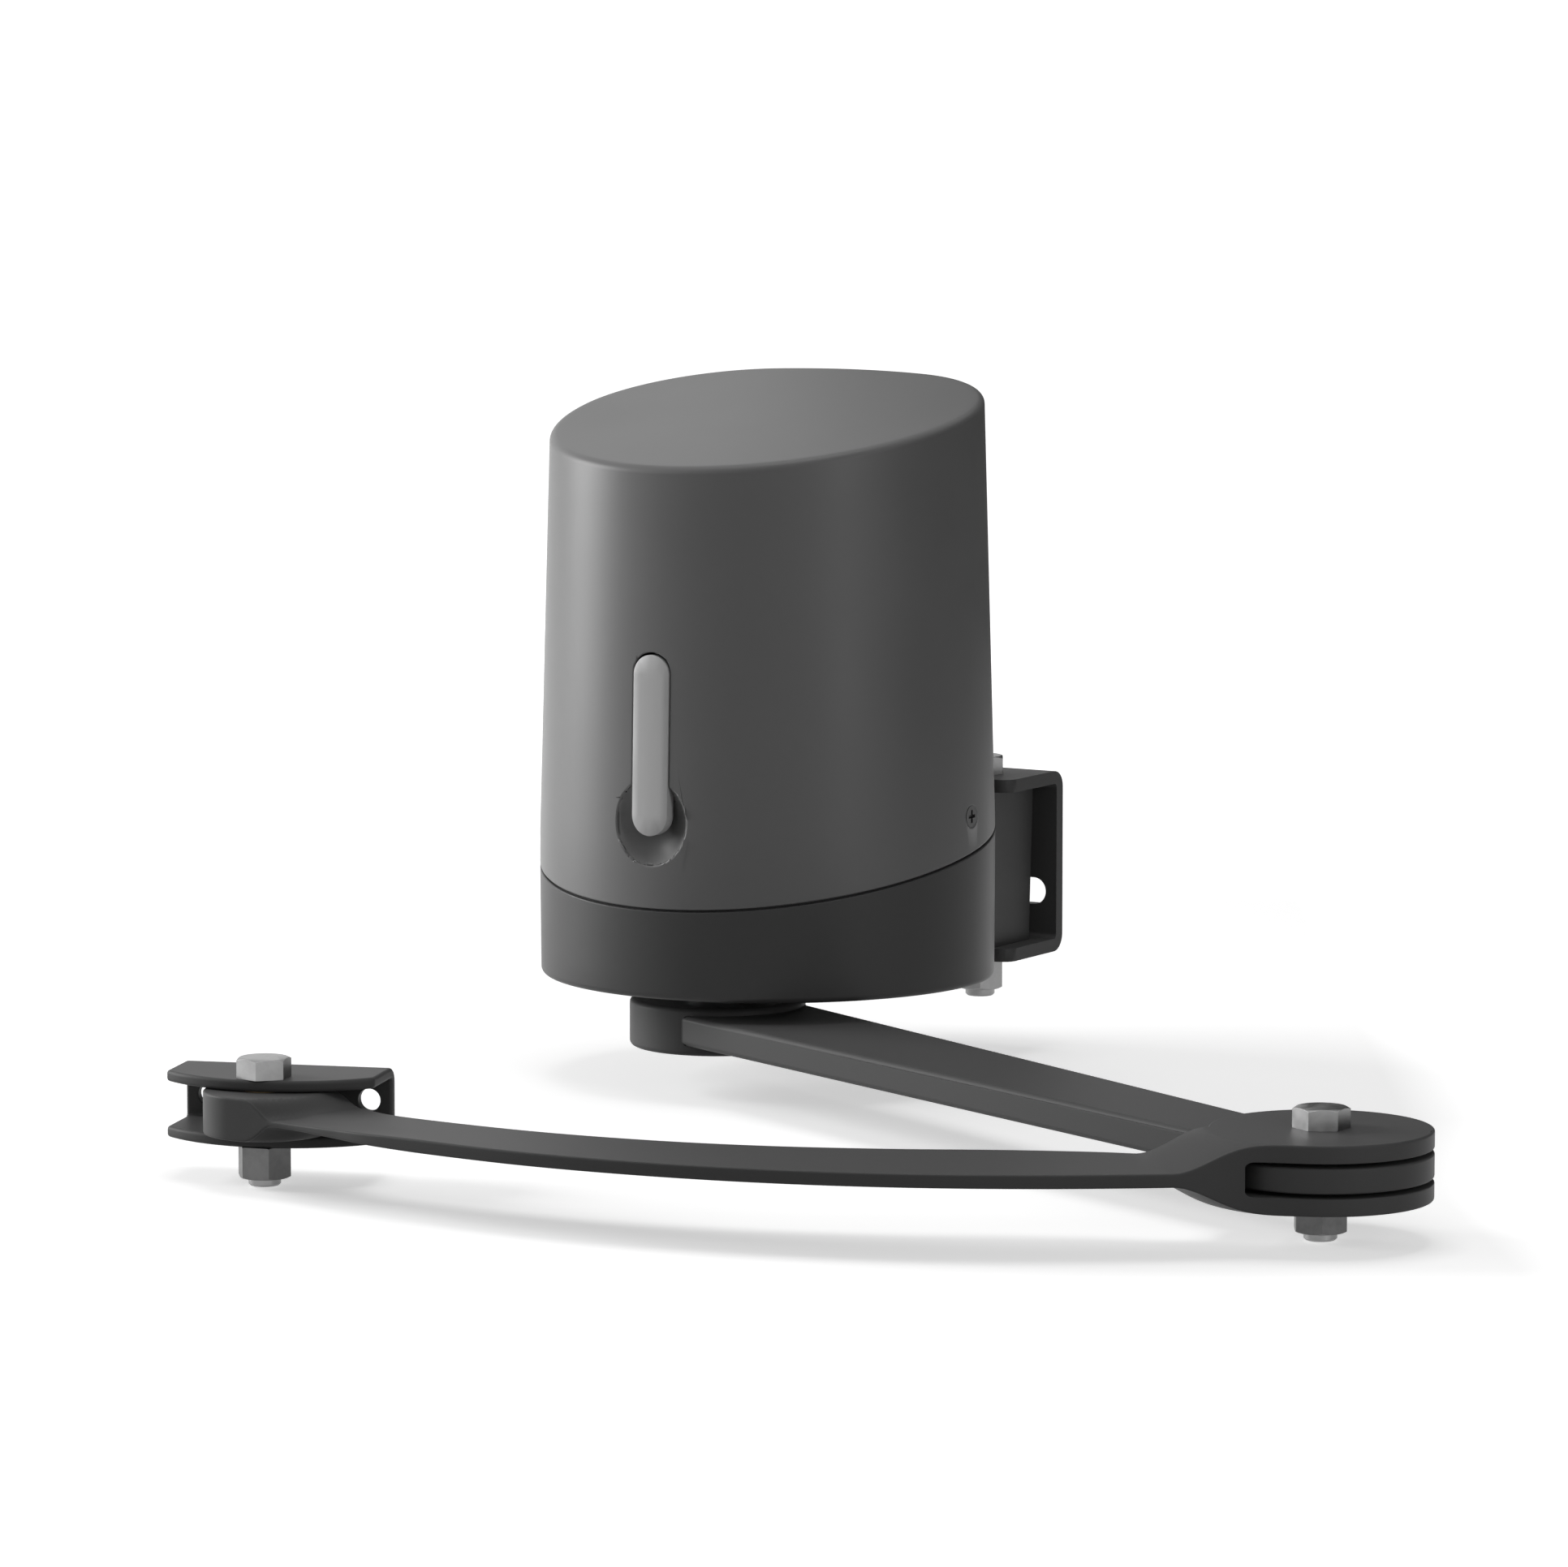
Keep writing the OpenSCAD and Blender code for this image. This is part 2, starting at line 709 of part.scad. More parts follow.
// Lug between the bracket's flanges, with its leaning back face, and its root inside the skirt
module lug() {
    lug_top = floor_t + bracket_h - 2 * plate_t;
    bolt_line = -body_y - bolt_back;
    root = back_r - lug_front_in;
    skin = back_r - lug_skin_in;
    front = back_r + lug_step;
    root_top = case_top - 2 * air;
    below_seam = seam_h - seal_t / 2 - air;
    translate([-lug_x, 0, 0]) rotate([90, 0, 90]) linear_extrude(2 * lug_x) polygon([
        [root, floor_t], [bolt_line + lug_back_low, floor_t], [bolt_line + lug_back_high, lug_top],
        [front, lug_top], [front, at_slope(below_seam, front)], [skin, at_slope(below_seam, skin)],
        [skin, root_top], [root, root_top]
    ]);
}
module chassis_screws() {
    color(zinc) in_body() foot_screw_places() translate([0, 0, small_head_h]) rotate([180, 0, 0])
        cross_screw(small_screw_l);
}

module gearbox_lid() {
    color(cast_grey) in_body() difference() {
        translate([0, 0, case_top]) linear_extrude(lid_t) {
            case_2d(case_wall);
            lid_screw_places() circle(lid_boss_r);
            translate(motor_p) circle(head_r + lid_flange);
        }
        front_room(case_front, 0);
        translate([shaft_p.x, shaft_p.y, case_top - over])
            cylinder(h = lid_t + 2 * over, r = journal_r + bush_wall + run_fit);
        shaft_places() translate([0, 0, case_top - over])
            cylinder(h = lid_t + 2 * over, r = idler_r + idler_bush_wall + run_fit);
        translate([motor_p.x, motor_p.y, case_top - over])
            cylinder(h = lid_t + 2 * over, r = high_module * motor_teeth / 2 + passage_air);
        translate([0, rod_y, case_top - over])
            cylinder(h = lid_t + 2 * over, r = rod_r + guide_wall + run_fit);
        lid_screw_places() translate([0, 0, case_top - over])
            cylinder(h = lid_t + 2 * over, d = small_screw_d + seat_fit);
        head_screw_places() translate([0, 0, case_top - over])
            cylinder(h = lid_t + 2 * over, d = small_screw_d + seat_fit);
    }
}
module lid_screws() {
    color(zinc) in_body() lid_screw_places() translate([0, 0, lid_top]) cross_screw(small_screw_l);
}
module lower_bush() {
    z0 = -boss_drop + seal_h + bush_gap;
    color(bronze) in_body() translate([shaft_p.x, shaft_p.y, z0])
        ring(shaft_r + bush_wall, shaft_r + run_fit, out_z - air - z0);
}
module upper_bush() {
    color(bronze) in_body() translate([shaft_p.x, shaft_p.y, case_top])
        ring(journal_r + bush_wall, journal_r + run_fit, lid_t);
}
module shaft_seal() {
    color(rubber) in_body() translate([shaft_p.x, shaft_p.y, -boss_drop])
        ring(shaft_r + bush_wall, shaft_r + air, seal_h);
}
module idler_bushes() {
    color(bronze) in_body() shaft_places() {
        translate([0, 0, floor_t])
            ring(idler_r + idler_bush_wall, idler_r + run_fit, idler_boss_top - floor_t);
        translate([0, 0, case_top]) ring(idler_r + idler_bush_wall, idler_r + run_fit, lid_t);
    }
}
module rod_guide() {
    color(nylon) in_body() translate([0, rod_y, case_top]) {
        ring(rod_r + guide_wall, rod_r + run_fit, guide_h);
        translate([0, 0, lid_t]) ring(rod_r + 2 * guide_wall, rod_r + run_fit, guide_wall);
    }
}

// Geared motor: planetary head on the lid, can and end cap above it
module rounded_drum(r, h, edge) {
    rotate_extrude($fn = 64) {
        square([r, h - edge]);
        square([r - edge, h]);
        translate([r - edge, h - edge]) circle(edge, $fn = 24);
    }
}
module head_screw_places() {
    for (a = [head_hole_turn:90:359]) translate(motor_p + head_hole_r * [cos(a), sin(a)]) children();
}
module planet_head() {
    color(cast_grey) in_body() difference() {
        translate([motor_p.x, motor_p.y, lid_top]) rounded_drum(head_r, head_h, motor_edge);
        translate([motor_p.x, motor_p.y, lid_top - over])
            cylinder(h = pinion_grip + over, r = pinion_shaft_r + run_fit);
        head_screw_places() translate([0, 0, lid_top - over])
            cylinder(h = small_screw_l, d = small_screw_d + seat_fit);
    }
}
module head_screws() {
    color(zinc) in_body() head_screw_places() translate([0, 0, case_top])
        rotate([180, 0, 0]) cross_screw(small_screw_l);
}
module motor_can() {
    color(steel) in_body() translate([motor_p.x, motor_p.y, lid_top + head_h])
        rounded_drum(can_r, can_h, motor_edge);
}
module motor_cap() {
    color(black_paint) in_body() translate([motor_p.x, motor_p.y, lid_top + head_h + can_h]) {
        rounded_drum(cap_r, cap_h, motor_edge);
        // the two motor terminals
        for (s = [-1, 1]) translate([s * cap_r / 2, 0, cap_h])
            cube([motor_edge / 2, 3 * motor_edge, 4 * motor_edge], center = true);
    }
}
module terminal_block() {
    pitch = block_l / block_ways;
    color(nylon) in_body() translate([block_x, block_y, floor_t + chassis_floor_t]) difference() {
        translate([-block_w / 2, -block_l / 2, 0]) cube([block_w, block_l, block_h]);
        for (k = [0:block_ways - 1]) translate([0, (k + 0.5) * pitch - block_l / 2, 0]) {
            translate([0, 0, block_h - block_hole]) cylinder(h = block_hole + over, r = pitch / 4, $fn = 24);
            translate([-block_w / 2 - over, 0, block_h / 2]) rotate([0, 90, 0])
                cylinder(h = block_hole + over, r = pitch / 4, $fn = 24);
        }
    }
}
module cable_grommet() {
    h = floor_t + chassis_floor_t;
    color(rubber) in_body() translate([grommet_x, grommet_y, 0]) difference() {
        union() {
            cylinder(h = floor_t, r = grommet_r);
            translate([0, 0, -grommet_rim_t]) cylinder(h = grommet_rim_t, r = grommet_r + grommet_lip);
            cylinder(h = h, r = grommet_r);
        }
        translate([0, 0, -grommet_rim_t - over]) cylinder(h = h + grommet_rim_t - floor_t, r = grommet_bore);
    }
}

// Cradle behind the cover's slot, and the pin that the lever turns on
module across_pin(w, r) {
    translate([-w / 2, pin_y, pin_z]) rotate([0, 90, 0]) cylinder(h = w, r = r);
}
module lever_cradle() {
    channel = lever_w + 2 * lever_gap;
    color(black_paint) in_body() difference() {
        union() {
            translate([-cradle_w / 2, cradle_front, cradle_low])
                cube([cradle_w, cradle_back - cradle_front, cradle_high - cradle_low]);
            translate([-ear_w / 2, ear_front, ear_z]) cube([ear_w, cradle_wall, ear_h]);
        }
        translate([-channel / 2, cradle_front - over, cradle_low - over])
            cube([channel, cradle_back - cradle_front - cradle_wall + over,
                cradle_high - cradle_low - cradle_wall + over]);
        across_pin(2 * cradle_w, pin_r + run_fit);
        for (s = [-1, 1]) translate([s * post_x, ear_front + cradle_wall + over, ear_z + ear_h / 2])
            rotate([90, 0, 0]) cylinder(h = cradle_wall + 2 * over, d = small_screw_d + seat_fit);
    }
}
module cradle_screws() {
    color(zinc) in_body() for (s = [-1, 1])
        translate([s * post_x, ear_front + cradle_wall, ear_z + ear_h / 2])
            rotate([-90, 0, 0]) cross_screw(cradle_screw_l);
}
module lever_pin() {
    color(steel) in_body() across_pin(cradle_w, pin_r);
}
// Lever: a round-ended blade that follows the cover's front, with a knuckle and a cam behind it
module release_lever() {
    color(lever_grey) in_body() difference() {
        union() {
            difference() {
                intersection() {
                    translate([0, -front_r + 2 * lever_t, 0])
                        stadium_prism(lever_w, lever_low, lever_high, 4 * lever_t);
                    front_cone(lever_proud);
                }
                translate([0, 0, -over]) front_cone(-lever_t);
                translate([0, 0, over]) front_cone(-lever_t);
            }
            across_pin(knuckle_w, knuckle_r);
            translate([0, rod_travel, 0]) across_pin(cam_w, cam_r);
        }
        across_pin(2 * lever_w, pin_r + run_fit);
    }
}
// Rod pushed down by the cam, with a yoke at the top and a fork that straddles the clutch collar
module release_rod() {
    top = pin_z - cam_r - cam_play;
    color(steel) in_body() difference() {
        union() {
            translate([0, rod_y, fork_z]) cylinder(h = top - fork_z, r = rod_r);
            translate([-yoke_w / 2, rod_y - yoke_reach, top - yoke_t])
                cube([yoke_w, yoke_reach + rod_r, yoke_t]);
            translate([-fork_w / 2, rod_y - rod_r, fork_z])
                cube([fork_w, shaft_p.y - rod_y + rod_r + fork_tine, fork_t]);
        }
        translate([shaft_p.x, shaft_p.y, fork_z - over])
            cylinder(h = fork_t + 2 * over, r = collar_core_r + air);
        translate([-collar_core_r - air, shaft_p.y, fork_z - over])
            cube([2 * collar_core_r + 2 * air, 2 * fork_tine, fork_t + 2 * over]);
    }
}

// Wall bracket: bent channel with slots in its web and bolt holes through both flanges
module bend_2d(depth, height, t, r) {
    difference() {
        union() {
            translate([-depth, -height / 2]) square([depth - r, height]);
            translate([-2 * r, -height / 2 + r]) square([2 * r, height - 2 * r]);
            for (s = [-1, 1]) translate([-r, s * (height / 2 - r)]) circle(r);
        }
        translate([-depth - over, -height / 2 + t]) square([depth + over - r, height - 2 * t]);
        translate([-2 * r, -height / 2 + r]) square([2 * r - t, height - 2 * r]);
        for (s = [-1, 1]) translate([-r, s * (height / 2 - r)]) circle(r - t);
    }
}
module wall_bracket() {
    cut = corner_cut;
    color(black_paint) difference() {
        intersection() {
            translate([-bracket_w / 2, 0, 0]) rotate([90, 0, 90]) linear_extrude(bracket_w)
                bend_2d(bracket_d, bracket_h, plate_t, bend_r);
            // rounded front corners of the flanges
            translate([0, 0, -bracket_h]) linear_extrude(2 * bracket_h) {
                translate([-bracket_w / 2, -bracket_d + cut]) square([bracket_w, bracket_d]);
                translate([-bracket_w / 2 + cut, -bracket_d]) square([bracket_w - 2 * cut, bracket_d]);
                for (s = [-1, 1]) translate([s * (bracket_w / 2 - cut), -bracket_d + cut]) circle(cut);
            }
        }
        for (s = [-1, 1]) {
            translate([s * bolt_x, -bolt_back, -bracket_h])
                cylinder(h = 2 * bracket_h, d = m12_d + m12_hole_fit);
            translate([s * slot_x, over, -slot_drop]) rotate([90, 0, 0]) linear_extrude(plate_t + 2 * over) {
                for (e = [-1, 1]) translate([e * (slot_l - slot_w) / 2, 0]) circle(d = slot_w);
                square([slot_l - slot_w, slot_w], center = true);
            }
        }
    }
}
module bolt_places() {
    for (s = [-1, 1]) translate([s * bolt_x, -bolt_back, 0]) children();
}
module bracket_bolts() {
    length = bracket_h + m12_washer_t + m12_nut + m12_tip;
    color(zinc) bolt_places() translate([0, 0, bracket_h / 2]) hex_bolt(m12_d, m12_af, m12_head, length);
}
module bracket_washers() {
    color(zinc) bolt_places() translate([0, 0, -bracket_h / 2 - m12_washer_t])
        ring(m12_washer_r, m12_d / 2 + m12_hole_fit / 2, m12_washer_t);
}
module bracket_nuts() {
    color(zinc) bolt_places() translate([0, 0, -bracket_h / 2 - m12_washer_t]) rotate([180, 0, 0])
        lock_nut(m12_d, m12_af, m12_nut);
}

// Output shaft and what turns with it
module output_shaft() {
    low = hub_top - hub_h + hub_pocket;
    color(steel) in_drive() difference() {
        union() {
            translate([0, 0, low]) cylinder(h = shoulder_z - low, r = shaft_r);
            cylinder(h = lid_top, r = journal_r);
        }
        translate([0, 0, low - over]) cylinder(h = hub_screw_l, d = hub_screw_d + seat_fit);
        translate([-key_w / 2, shaft_r - key_h / 2, out_z]) cube([key_w, key_h, out_face + over]);
    }
}
module output_gear() {
    color(steel) in_drive() difference() {
        translate([0, 0, out_z]) spur(out_module, out_teeth, out_face, 90 - drive_angle);
        translate([0, 0, out_z - over]) cylinder(h = out_face + 2 * over, r = shaft_r + run_fit);
        translate([-key_w / 2, 0, out_z - over])
            cube([key_w, shaft_r + key_h / 2 + run_fit, out_face + 2 * over]);
    }
}
module shaft_key() {
    color(steel) in_drive() translate([-key_w / 2 + run_fit, shaft_r - key_h / 2 + run_fit, out_z])
        cube([key_w - 2 * run_fit, key_h - run_fit, out_face]);
}
// Clutch collar: a plain sleeve, and the two flange rings on it that the rod's fork runs between
module clutch_collar() {
    color(steel) in_drive() translate([0, 0, collar_z])
        ring(collar_core_r, journal_r + run_fit, collar_h);
}
module collar_rings() {
    color(steel) in_drive() for (z = [collar_z, collar_z + collar_h - collar_rim])
        translate([0, 0, z]) ring(collar_r, collar_core_r + run_fit, collar_rim);
}
module puck(r, h, edge) {
    rotate_extrude($fn = 64) puck_2d(r, h, edge);
}
module puck_2d(r, h, edge) {
    translate([0, -h / 2]) square([r - edge, h]);
    translate([0, -h / 2 + edge]) square([r, h - 2 * edge]);
    for (s = [-1, 1]) translate([r - edge, s * (h / 2 - edge)]) circle(edge, $fn = 24);
}
// Low-poly puck for the one hull of the drive arm
module coarse_puck(r, h, edge) {
    for (s = [0, 1]) mirror([0, 0, s]) {
        cylinder(h = h / 2 - edge, r = r, $fn = 64);
        cylinder(h = h / 2 - edge * (1 - sin(45)), r = r - edge * (1 - cos(45)), $fn = 64);
        cylinder(h = h / 2, r = r - edge, $fn = 64);
    }
}
module drive_arm() {
    step_r = disc_r + tongue_step;
    color(black_paint) in_drive() difference() {
        union() {
            translate([0, 0, hub_top - hub_h / 2]) puck(hub_r, hub_h, arm_edge);
            difference() {
                translate([0, 0, -arm_drop]) hull() {
                    coarse_puck(arm_half_hub, arm_t, arm_edge);
                    translate([drive_l, 0, 0]) coarse_puck(arm_half_elbow, arm_t, arm_edge);
                }
                for (s = [0, 1]) translate([drive_l, 0, -arm_drop]) mirror([0, 0, s])
                    translate([0, 0, tongue_t / 2]) cylinder(h = arm_t, r = step_r, $fn = 96);
            }
            translate([drive_l, 0, -arm_drop]) puck(disc_r, tongue_t, edge_soft);
        }
        translate([0, 0, hub_top - hub_h - over]) cylinder(h = hub_h + 2 * over, r = shaft_r + run_fit);
        translate([0, 0, hub_top - hub_h - over]) cylinder(h = hub_pocket + over, r = hub_pocket_r);
        translate([drive_l, 0, -arm_drop - arm_t]) cylinder(h = 2 * arm_t, r = m12_d / 2 + bush_t + run_fit);
    }
}
module elbow_bush() {
    color(bronze) in_drive() translate([drive_l, 0, -arm_drop - slot_h / 2 + run_fit])
        ring(m12_d / 2 + bush_t, m12_d / 2 + run_fit, slot_h - 2 * run_fit);
}
module hub_washer() {
    color(zinc) in_drive() translate([0, 0, hub_top - hub_h + hub_pocket - hub_washer_t])
        ring(hub_washer_r, hub_screw_d / 2 + seat_fit, hub_washer_t);
}
module hub_screw() {
    color(zinc) in_drive() translate([0, 0, hub_top - hub_h + hub_pocket - hub_washer_t]) rotate([180, 0, 0])
        hex_bolt(hub_screw_d, hub_screw_af, hub_screw_head, hub_screw_l - hub_washer_t);
}

// Curved arm. Its plan lies between two edges that run from the eye to the fork,
// each a smooth curve through points given as shares of the arm's length.
near_shares = [[1.03, 0.035], [1, 0.0567], [0.957, 0.074], [0.9, 0.102], [0.838, 0.132],
    [0.698, 0.18], [0.569, 0.203], [0.449, 0.208], [0.333, 0.197], [0.222, 0.172],
    [0.125, 0.139], [0.05, 0.108], [0, 0.085], [-0.02, 0.07]];
far_shares = [[1.03, -0.035], [1, -0.0567], [0.945, -0.03], [0.9, 0], [0.85, 0.0305],
    [0.72, 0.07], [0.6, 0.0875], [0.49, 0.0875], [0.38, 0.072], [0.285, 0.05],
    [0.2, 0.036], [0.126, 0.032], [0.03, 0], [0, -0.02]];
across_shares = [0, 0.012, 0.05, 0.25, 0.5, 0.75, 0.95, 0.988, 1];
edge_drop_shares = [1, 0.35, 0, 0, 0, 0, 0, 0.35, 1];
run_steps = 4;

function spline(p, k, t) =
    let (a = p[k - 1], b = p[k], c = p[k + 1], d = p[k + 2])
    0.5 * (2 * b + (c - a) * t + (2 * a - 5 * b + 4 * c - d) * t * t + (3 * b - a - 3 * c + d) * t * t * t);
function ease(x) = let (t = min(1, max(0, x))) t * t * (3 - 2 * t);
// Half height of the arm at a plan point, w running from the near edge to the far edge
function half_height(p, w) =
    let (to_fork = norm(p) - disc_r, to_eye = norm(p - [link_l, 0]) - eye_r,
         flare = eye_flare_near + (eye_flare_far - eye_flare_near) * w * w,
         blade = blade_t / 2 + (link_t - blade_t) / 2 * ease(to_eye / blade_run),
         bar = blade + (link_t / 2 - blade) * ease(w * 2),
         up_fork = (fork_h / 2 - bar) * (1 - ease(to_fork / fork_flare)),
         up_eye = (eye_h / 2 - bar) * (1 - ease(to_eye / flare)))
    bar + max(up_fork, up_eye);
link_rows = [for (k = [1:len(near_shares) - 3], j = [0:run_steps - 1])
    [spline(near_shares, k, j / run_steps) * link_l, spline(far_shares, k, j / run_steps) * link_l]];

module link_body() {
    m = len(across_shares);
    sheets = [for (row = link_rows) concat(
        [for (j = [m - 1:-1:0]) let (w = across_shares[j], p = row[0] + (row[1] - row[0]) * w,
            h = half_height(p, w)) [p.x, p.y, h - edge_drop_shares[j] * min(edge_soft, h / 2)]],
        [for (j = [0:m - 1]) let (w = across_shares[j], p = row[0] + (row[1] - row[0]) * w,
            h = half_height(p, w)) [p.x, p.y, -h + edge_drop_shares[j] * min(edge_soft, h / 2)]])];
    loft(sheets);
}
module curved_arm() {
    color(black_paint) in_elbow() difference() {
        union() {
            link_body();
            puck(disc_r, fork_h, edge_soft);
            translate([link_l, 0, 0]) puck(eye_r, eye_h, edge_soft);
        }
        translate([0, 0, -slot_h / 2]) cylinder(h = slot_h, r = disc_r + slot_air, $fn = 96);
        translate([0, 0, -fork_h]) cylinder(h = 2 * fork_h, d = m12_d + m12_hole_fit);
        translate([link_l, 0, -eye_h]) cylinder(h = 2 * eye_h, r = m12_d / 2 + bush_t + seat_fit);
    }
}
module eye_bush() {
    gap = fork_h - 2 * gate_plate_t;
    color(bronze) in_elbow() translate([link_l, 0, -gap / 2 + run_fit])
        ring(m12_d / 2 + bush_t, m12_d / 2 + run_fit, gap - 2 * run_fit);
}
module pivot_bolt() {
    translate([0, 0, fork_h / 2]) hex_bolt(m12_d, m12_af, m12_head, fork_h + m12_nut + m12_tip);
}
module pivot_nut() {
    translate([0, 0, -fork_h / 2]) rotate([180, 0, 0]) lock_nut(m12_d, m12_af, m12_nut);
}
module elbow_bolt() {
    color(zinc) in_elbow() pivot_bolt();
}
module elbow_nut() {
    color(steel) in_elbow() pivot_nut();
}

// Gate bracket: bent channel whose plates have an arc-shaped front edge
module gate_bracket() {
    arc_r = (gate_w * gate_w / 4 + gate_arc_rise * gate_arc_rise) / (2 * gate_arc_rise);
    color(black_paint) in_gate() difference() {
        intersection() {
            translate([-gate_w / 2, gate_back, 0]) rotate([90, 0, 90]) linear_extrude(gate_w)
                bend_2d(gate_back + gate_front, fork_h, gate_plate_t, gate_bend_r);
            translate([0, arc_r - gate_front, -fork_h]) cylinder(h = 2 * fork_h, r = arc_r, $fn = 96);
        }
        translate([0, 0, -fork_h]) cylinder(h = 2 * fork_h, d = m12_d + m12_hole_fit);
        for (s = [-1, 1]) translate([s * gate_hole_pitch / 2, gate_back + over, 0]) rotate([90, 0, 0])
            cylinder(h = gate_plate_t + 2 * over, d = gate_hole_d);
    }
}
module gate_bolt() {
    color(zinc) in_gate() pivot_bolt();
}
module gate_nut() {
    color(steel) in_gate() pivot_nut();
}

// Idlers: each a wheel and a pinion on one spindle
low_turn = -90;
high_dir = atan2(high_p.y - low_p.y, high_p.x - low_p.x);
motor_dir = atan2(motor_p.y - high_p.y, motor_p.x - high_p.x);
module spindle() {
    translate([0, 0, floor_t + idler_end]) cylinder(h = lid_top - floor_t - 2 * idler_end, r = idler_r);
}
module idler_low() {
    color(steel) in_body() translate(low_p) {
        spindle();
        translate([0, 0, out_z - pinion_extra])
            spur(out_module, low_pinion_teeth, out_face + 2 * pinion_extra,
                low_turn + 180 / low_pinion_teeth);
        translate([0, 0, mid_z]) spur(mid_module, mid_teeth, mid_face, high_dir);
    }
}
module idler_high() {
    color(steel) in_body() translate(high_p) {
        spindle();
        translate([0, 0, mid_z - pinion_extra]) spur(mid_module, mid_pinion_teeth,
            mid_face + 2 * pinion_extra, high_dir + 180 + 180 / mid_pinion_teeth);
        translate([0, 0, high_z]) spur(high_module, high_teeth, high_face, motor_dir);
    }
}
module motor_pinion() {
    z0 = high_z - pinion_extra;
    color(steel) in_body() translate([motor_p.x, motor_p.y, 0]) {
        translate([0, 0, z0]) spur(high_module, motor_teeth, high_face + 2 * pinion_extra,
            motor_dir + 180 + 180 / motor_teeth);
        translate([0, 0, z0]) cylinder(h = lid_top + pinion_grip - air - z0, r = pinion_shaft_r);
    }
}

top_cover();
base_skirt();
cover_seal();
cover_screws();
chassis();
chassis_screws();
gearbox_lid();
lid_screws();
lower_bush();
upper_bush();
shaft_seal();
idler_bushes();
rod_guide();
planet_head();
motor_can();
motor_cap();
head_screws();
terminal_block();
cable_grommet();
lever_cradle();
cradle_screws();
lever_pin();
wall_bracket();
bracket_bolts();
bracket_washers();
bracket_nuts();
output_shaft();
output_gear();
shaft_key();
clutch_collar();
collar_rings();
drive_arm();
elbow_bush();
hub_washer();
hub_screw();
curved_arm();
eye_bush();
elbow_bolt();
elbow_nut();
gate_bracket();
gate_bolt();
gate_nut();
release_lever();
release_rod();
idler_low();
idler_high();
motor_pinion();
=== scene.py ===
# %% [markdown]
# # Swing gate operator, dressed for a product picture
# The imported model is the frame: every node already has its real place and size, in metres.
# This lesson keeps the nodes whose shape is right and gives them soft edges and a finish.
# The lofted shells and the two arms are built again with finer meshes, because a smooth
# glossy skin shows every flat of a coarse one.

# %% Load the frame
import math
import bpy
import bmesh
from mathutils import Matrix, Vector
from mathutils.bvhtree import BVHTree
from mathutils.interpolate import poly_3d_calc


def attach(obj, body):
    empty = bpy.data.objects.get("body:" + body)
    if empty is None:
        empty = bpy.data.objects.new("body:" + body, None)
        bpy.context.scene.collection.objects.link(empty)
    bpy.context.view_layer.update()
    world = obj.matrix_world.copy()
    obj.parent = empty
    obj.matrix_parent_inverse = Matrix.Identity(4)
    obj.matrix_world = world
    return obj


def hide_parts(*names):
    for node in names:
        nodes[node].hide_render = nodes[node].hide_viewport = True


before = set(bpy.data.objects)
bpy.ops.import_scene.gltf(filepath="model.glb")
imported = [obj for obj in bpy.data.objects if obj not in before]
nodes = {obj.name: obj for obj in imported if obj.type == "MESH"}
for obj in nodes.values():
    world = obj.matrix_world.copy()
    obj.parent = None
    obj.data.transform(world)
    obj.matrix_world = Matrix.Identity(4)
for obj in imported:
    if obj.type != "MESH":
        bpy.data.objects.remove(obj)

scene = bpy.context.scene
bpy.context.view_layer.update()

# %% [markdown]
# ## Places
# All the shapes are worked out in millimetres in the frame of the part that they belong to.
# The housing stands on its own axis, and each arm lies along its own X axis, so that its plan
# is easy to draw. One matrix for each of them carries the finished mesh to its real place.

# %% One matrix for each frame
MM = Matrix.Scale(0.001, 4)
wall_gap, under = 119, 36
shaft_y, arm_drop = -41.5, 14.4
drive_l, link_l = 399, 397
drive_turn, fold, gate_turn = 26.2, 40.9, 18.2


def turn(degrees, axis="Z"):
    return Matrix.Rotation(math.radians(degrees), 4, axis)


def shift(x=0, y=0, z=0):
    return Matrix.Translation((x, y, z))


body_place = shift(0, -wall_gap, -under)
drive_place = body_place @ shift(0, shaft_y, 0) @ turn(-drive_turn)
link_place = drive_place @ shift(drive_l, 0, -arm_drop) @ turn(180 + fold)
gate_place = link_place @ shift(link_l, 0, 0) @ turn(gate_turn + drive_turn - fold - 180)
print("elbow at", (MM @ link_place).translation, "gate pivot at", (MM @ gate_place).translation)

# %% [markdown]
# ## Mesh helpers
# Most solids here are a stack of rings with the same number of points: a lathe part, a slab cut
# from a plan, or a lofted shell. Boolean modifiers then join and cut them, as drilling and
# milling would. Doing it with modifiers keeps the script short, and each result is settled
# into a plain mesh before the next step.


# %% A solid through rings
def solid(name, rings):
    n, last = len(rings[0]), len(rings) - 1
    points = [p for ring in rings for p in ring]
    faces = [tuple(reversed(range(n)))]
    for k in range(last):
        for i in range(n):
            a, b = k * n + i, k * n + (i + 1) % n
            faces.append((a, b, b + n, a + n))
    faces.append(tuple(last * n + i for i in range(n)))
    mesh = bpy.data.meshes.new(name)
    mesh.from_pydata([tuple(p) for p in points], [], faces)
    work = bmesh.new()
    work.from_mesh(mesh)
    bmesh.ops.recalc_face_normals(work, faces=work.faces)
    work.to_mesh(mesh)
    work.free()
    obj = bpy.data.objects.new(name, mesh)
    scene.collection.objects.link(obj)
    return obj


def arc(cx, cy, r, a0, a1, steps):
    angles = [math.radians(a0 + (a1 - a0) * k / steps) for k in range(steps + 1)]
    return [(cx + r * math.cos(a), cy + r * math.sin(a)) for a in angles]


def turned(name, profile, steps=96):
    rings = []
    for r, z in profile:
        spokes = [2 * math.pi * i / steps for i in range(steps)]
        rings.append([(r * math.cos(a), r * math.sin(a), z) for a in spokes])
    return solid(name, rings)


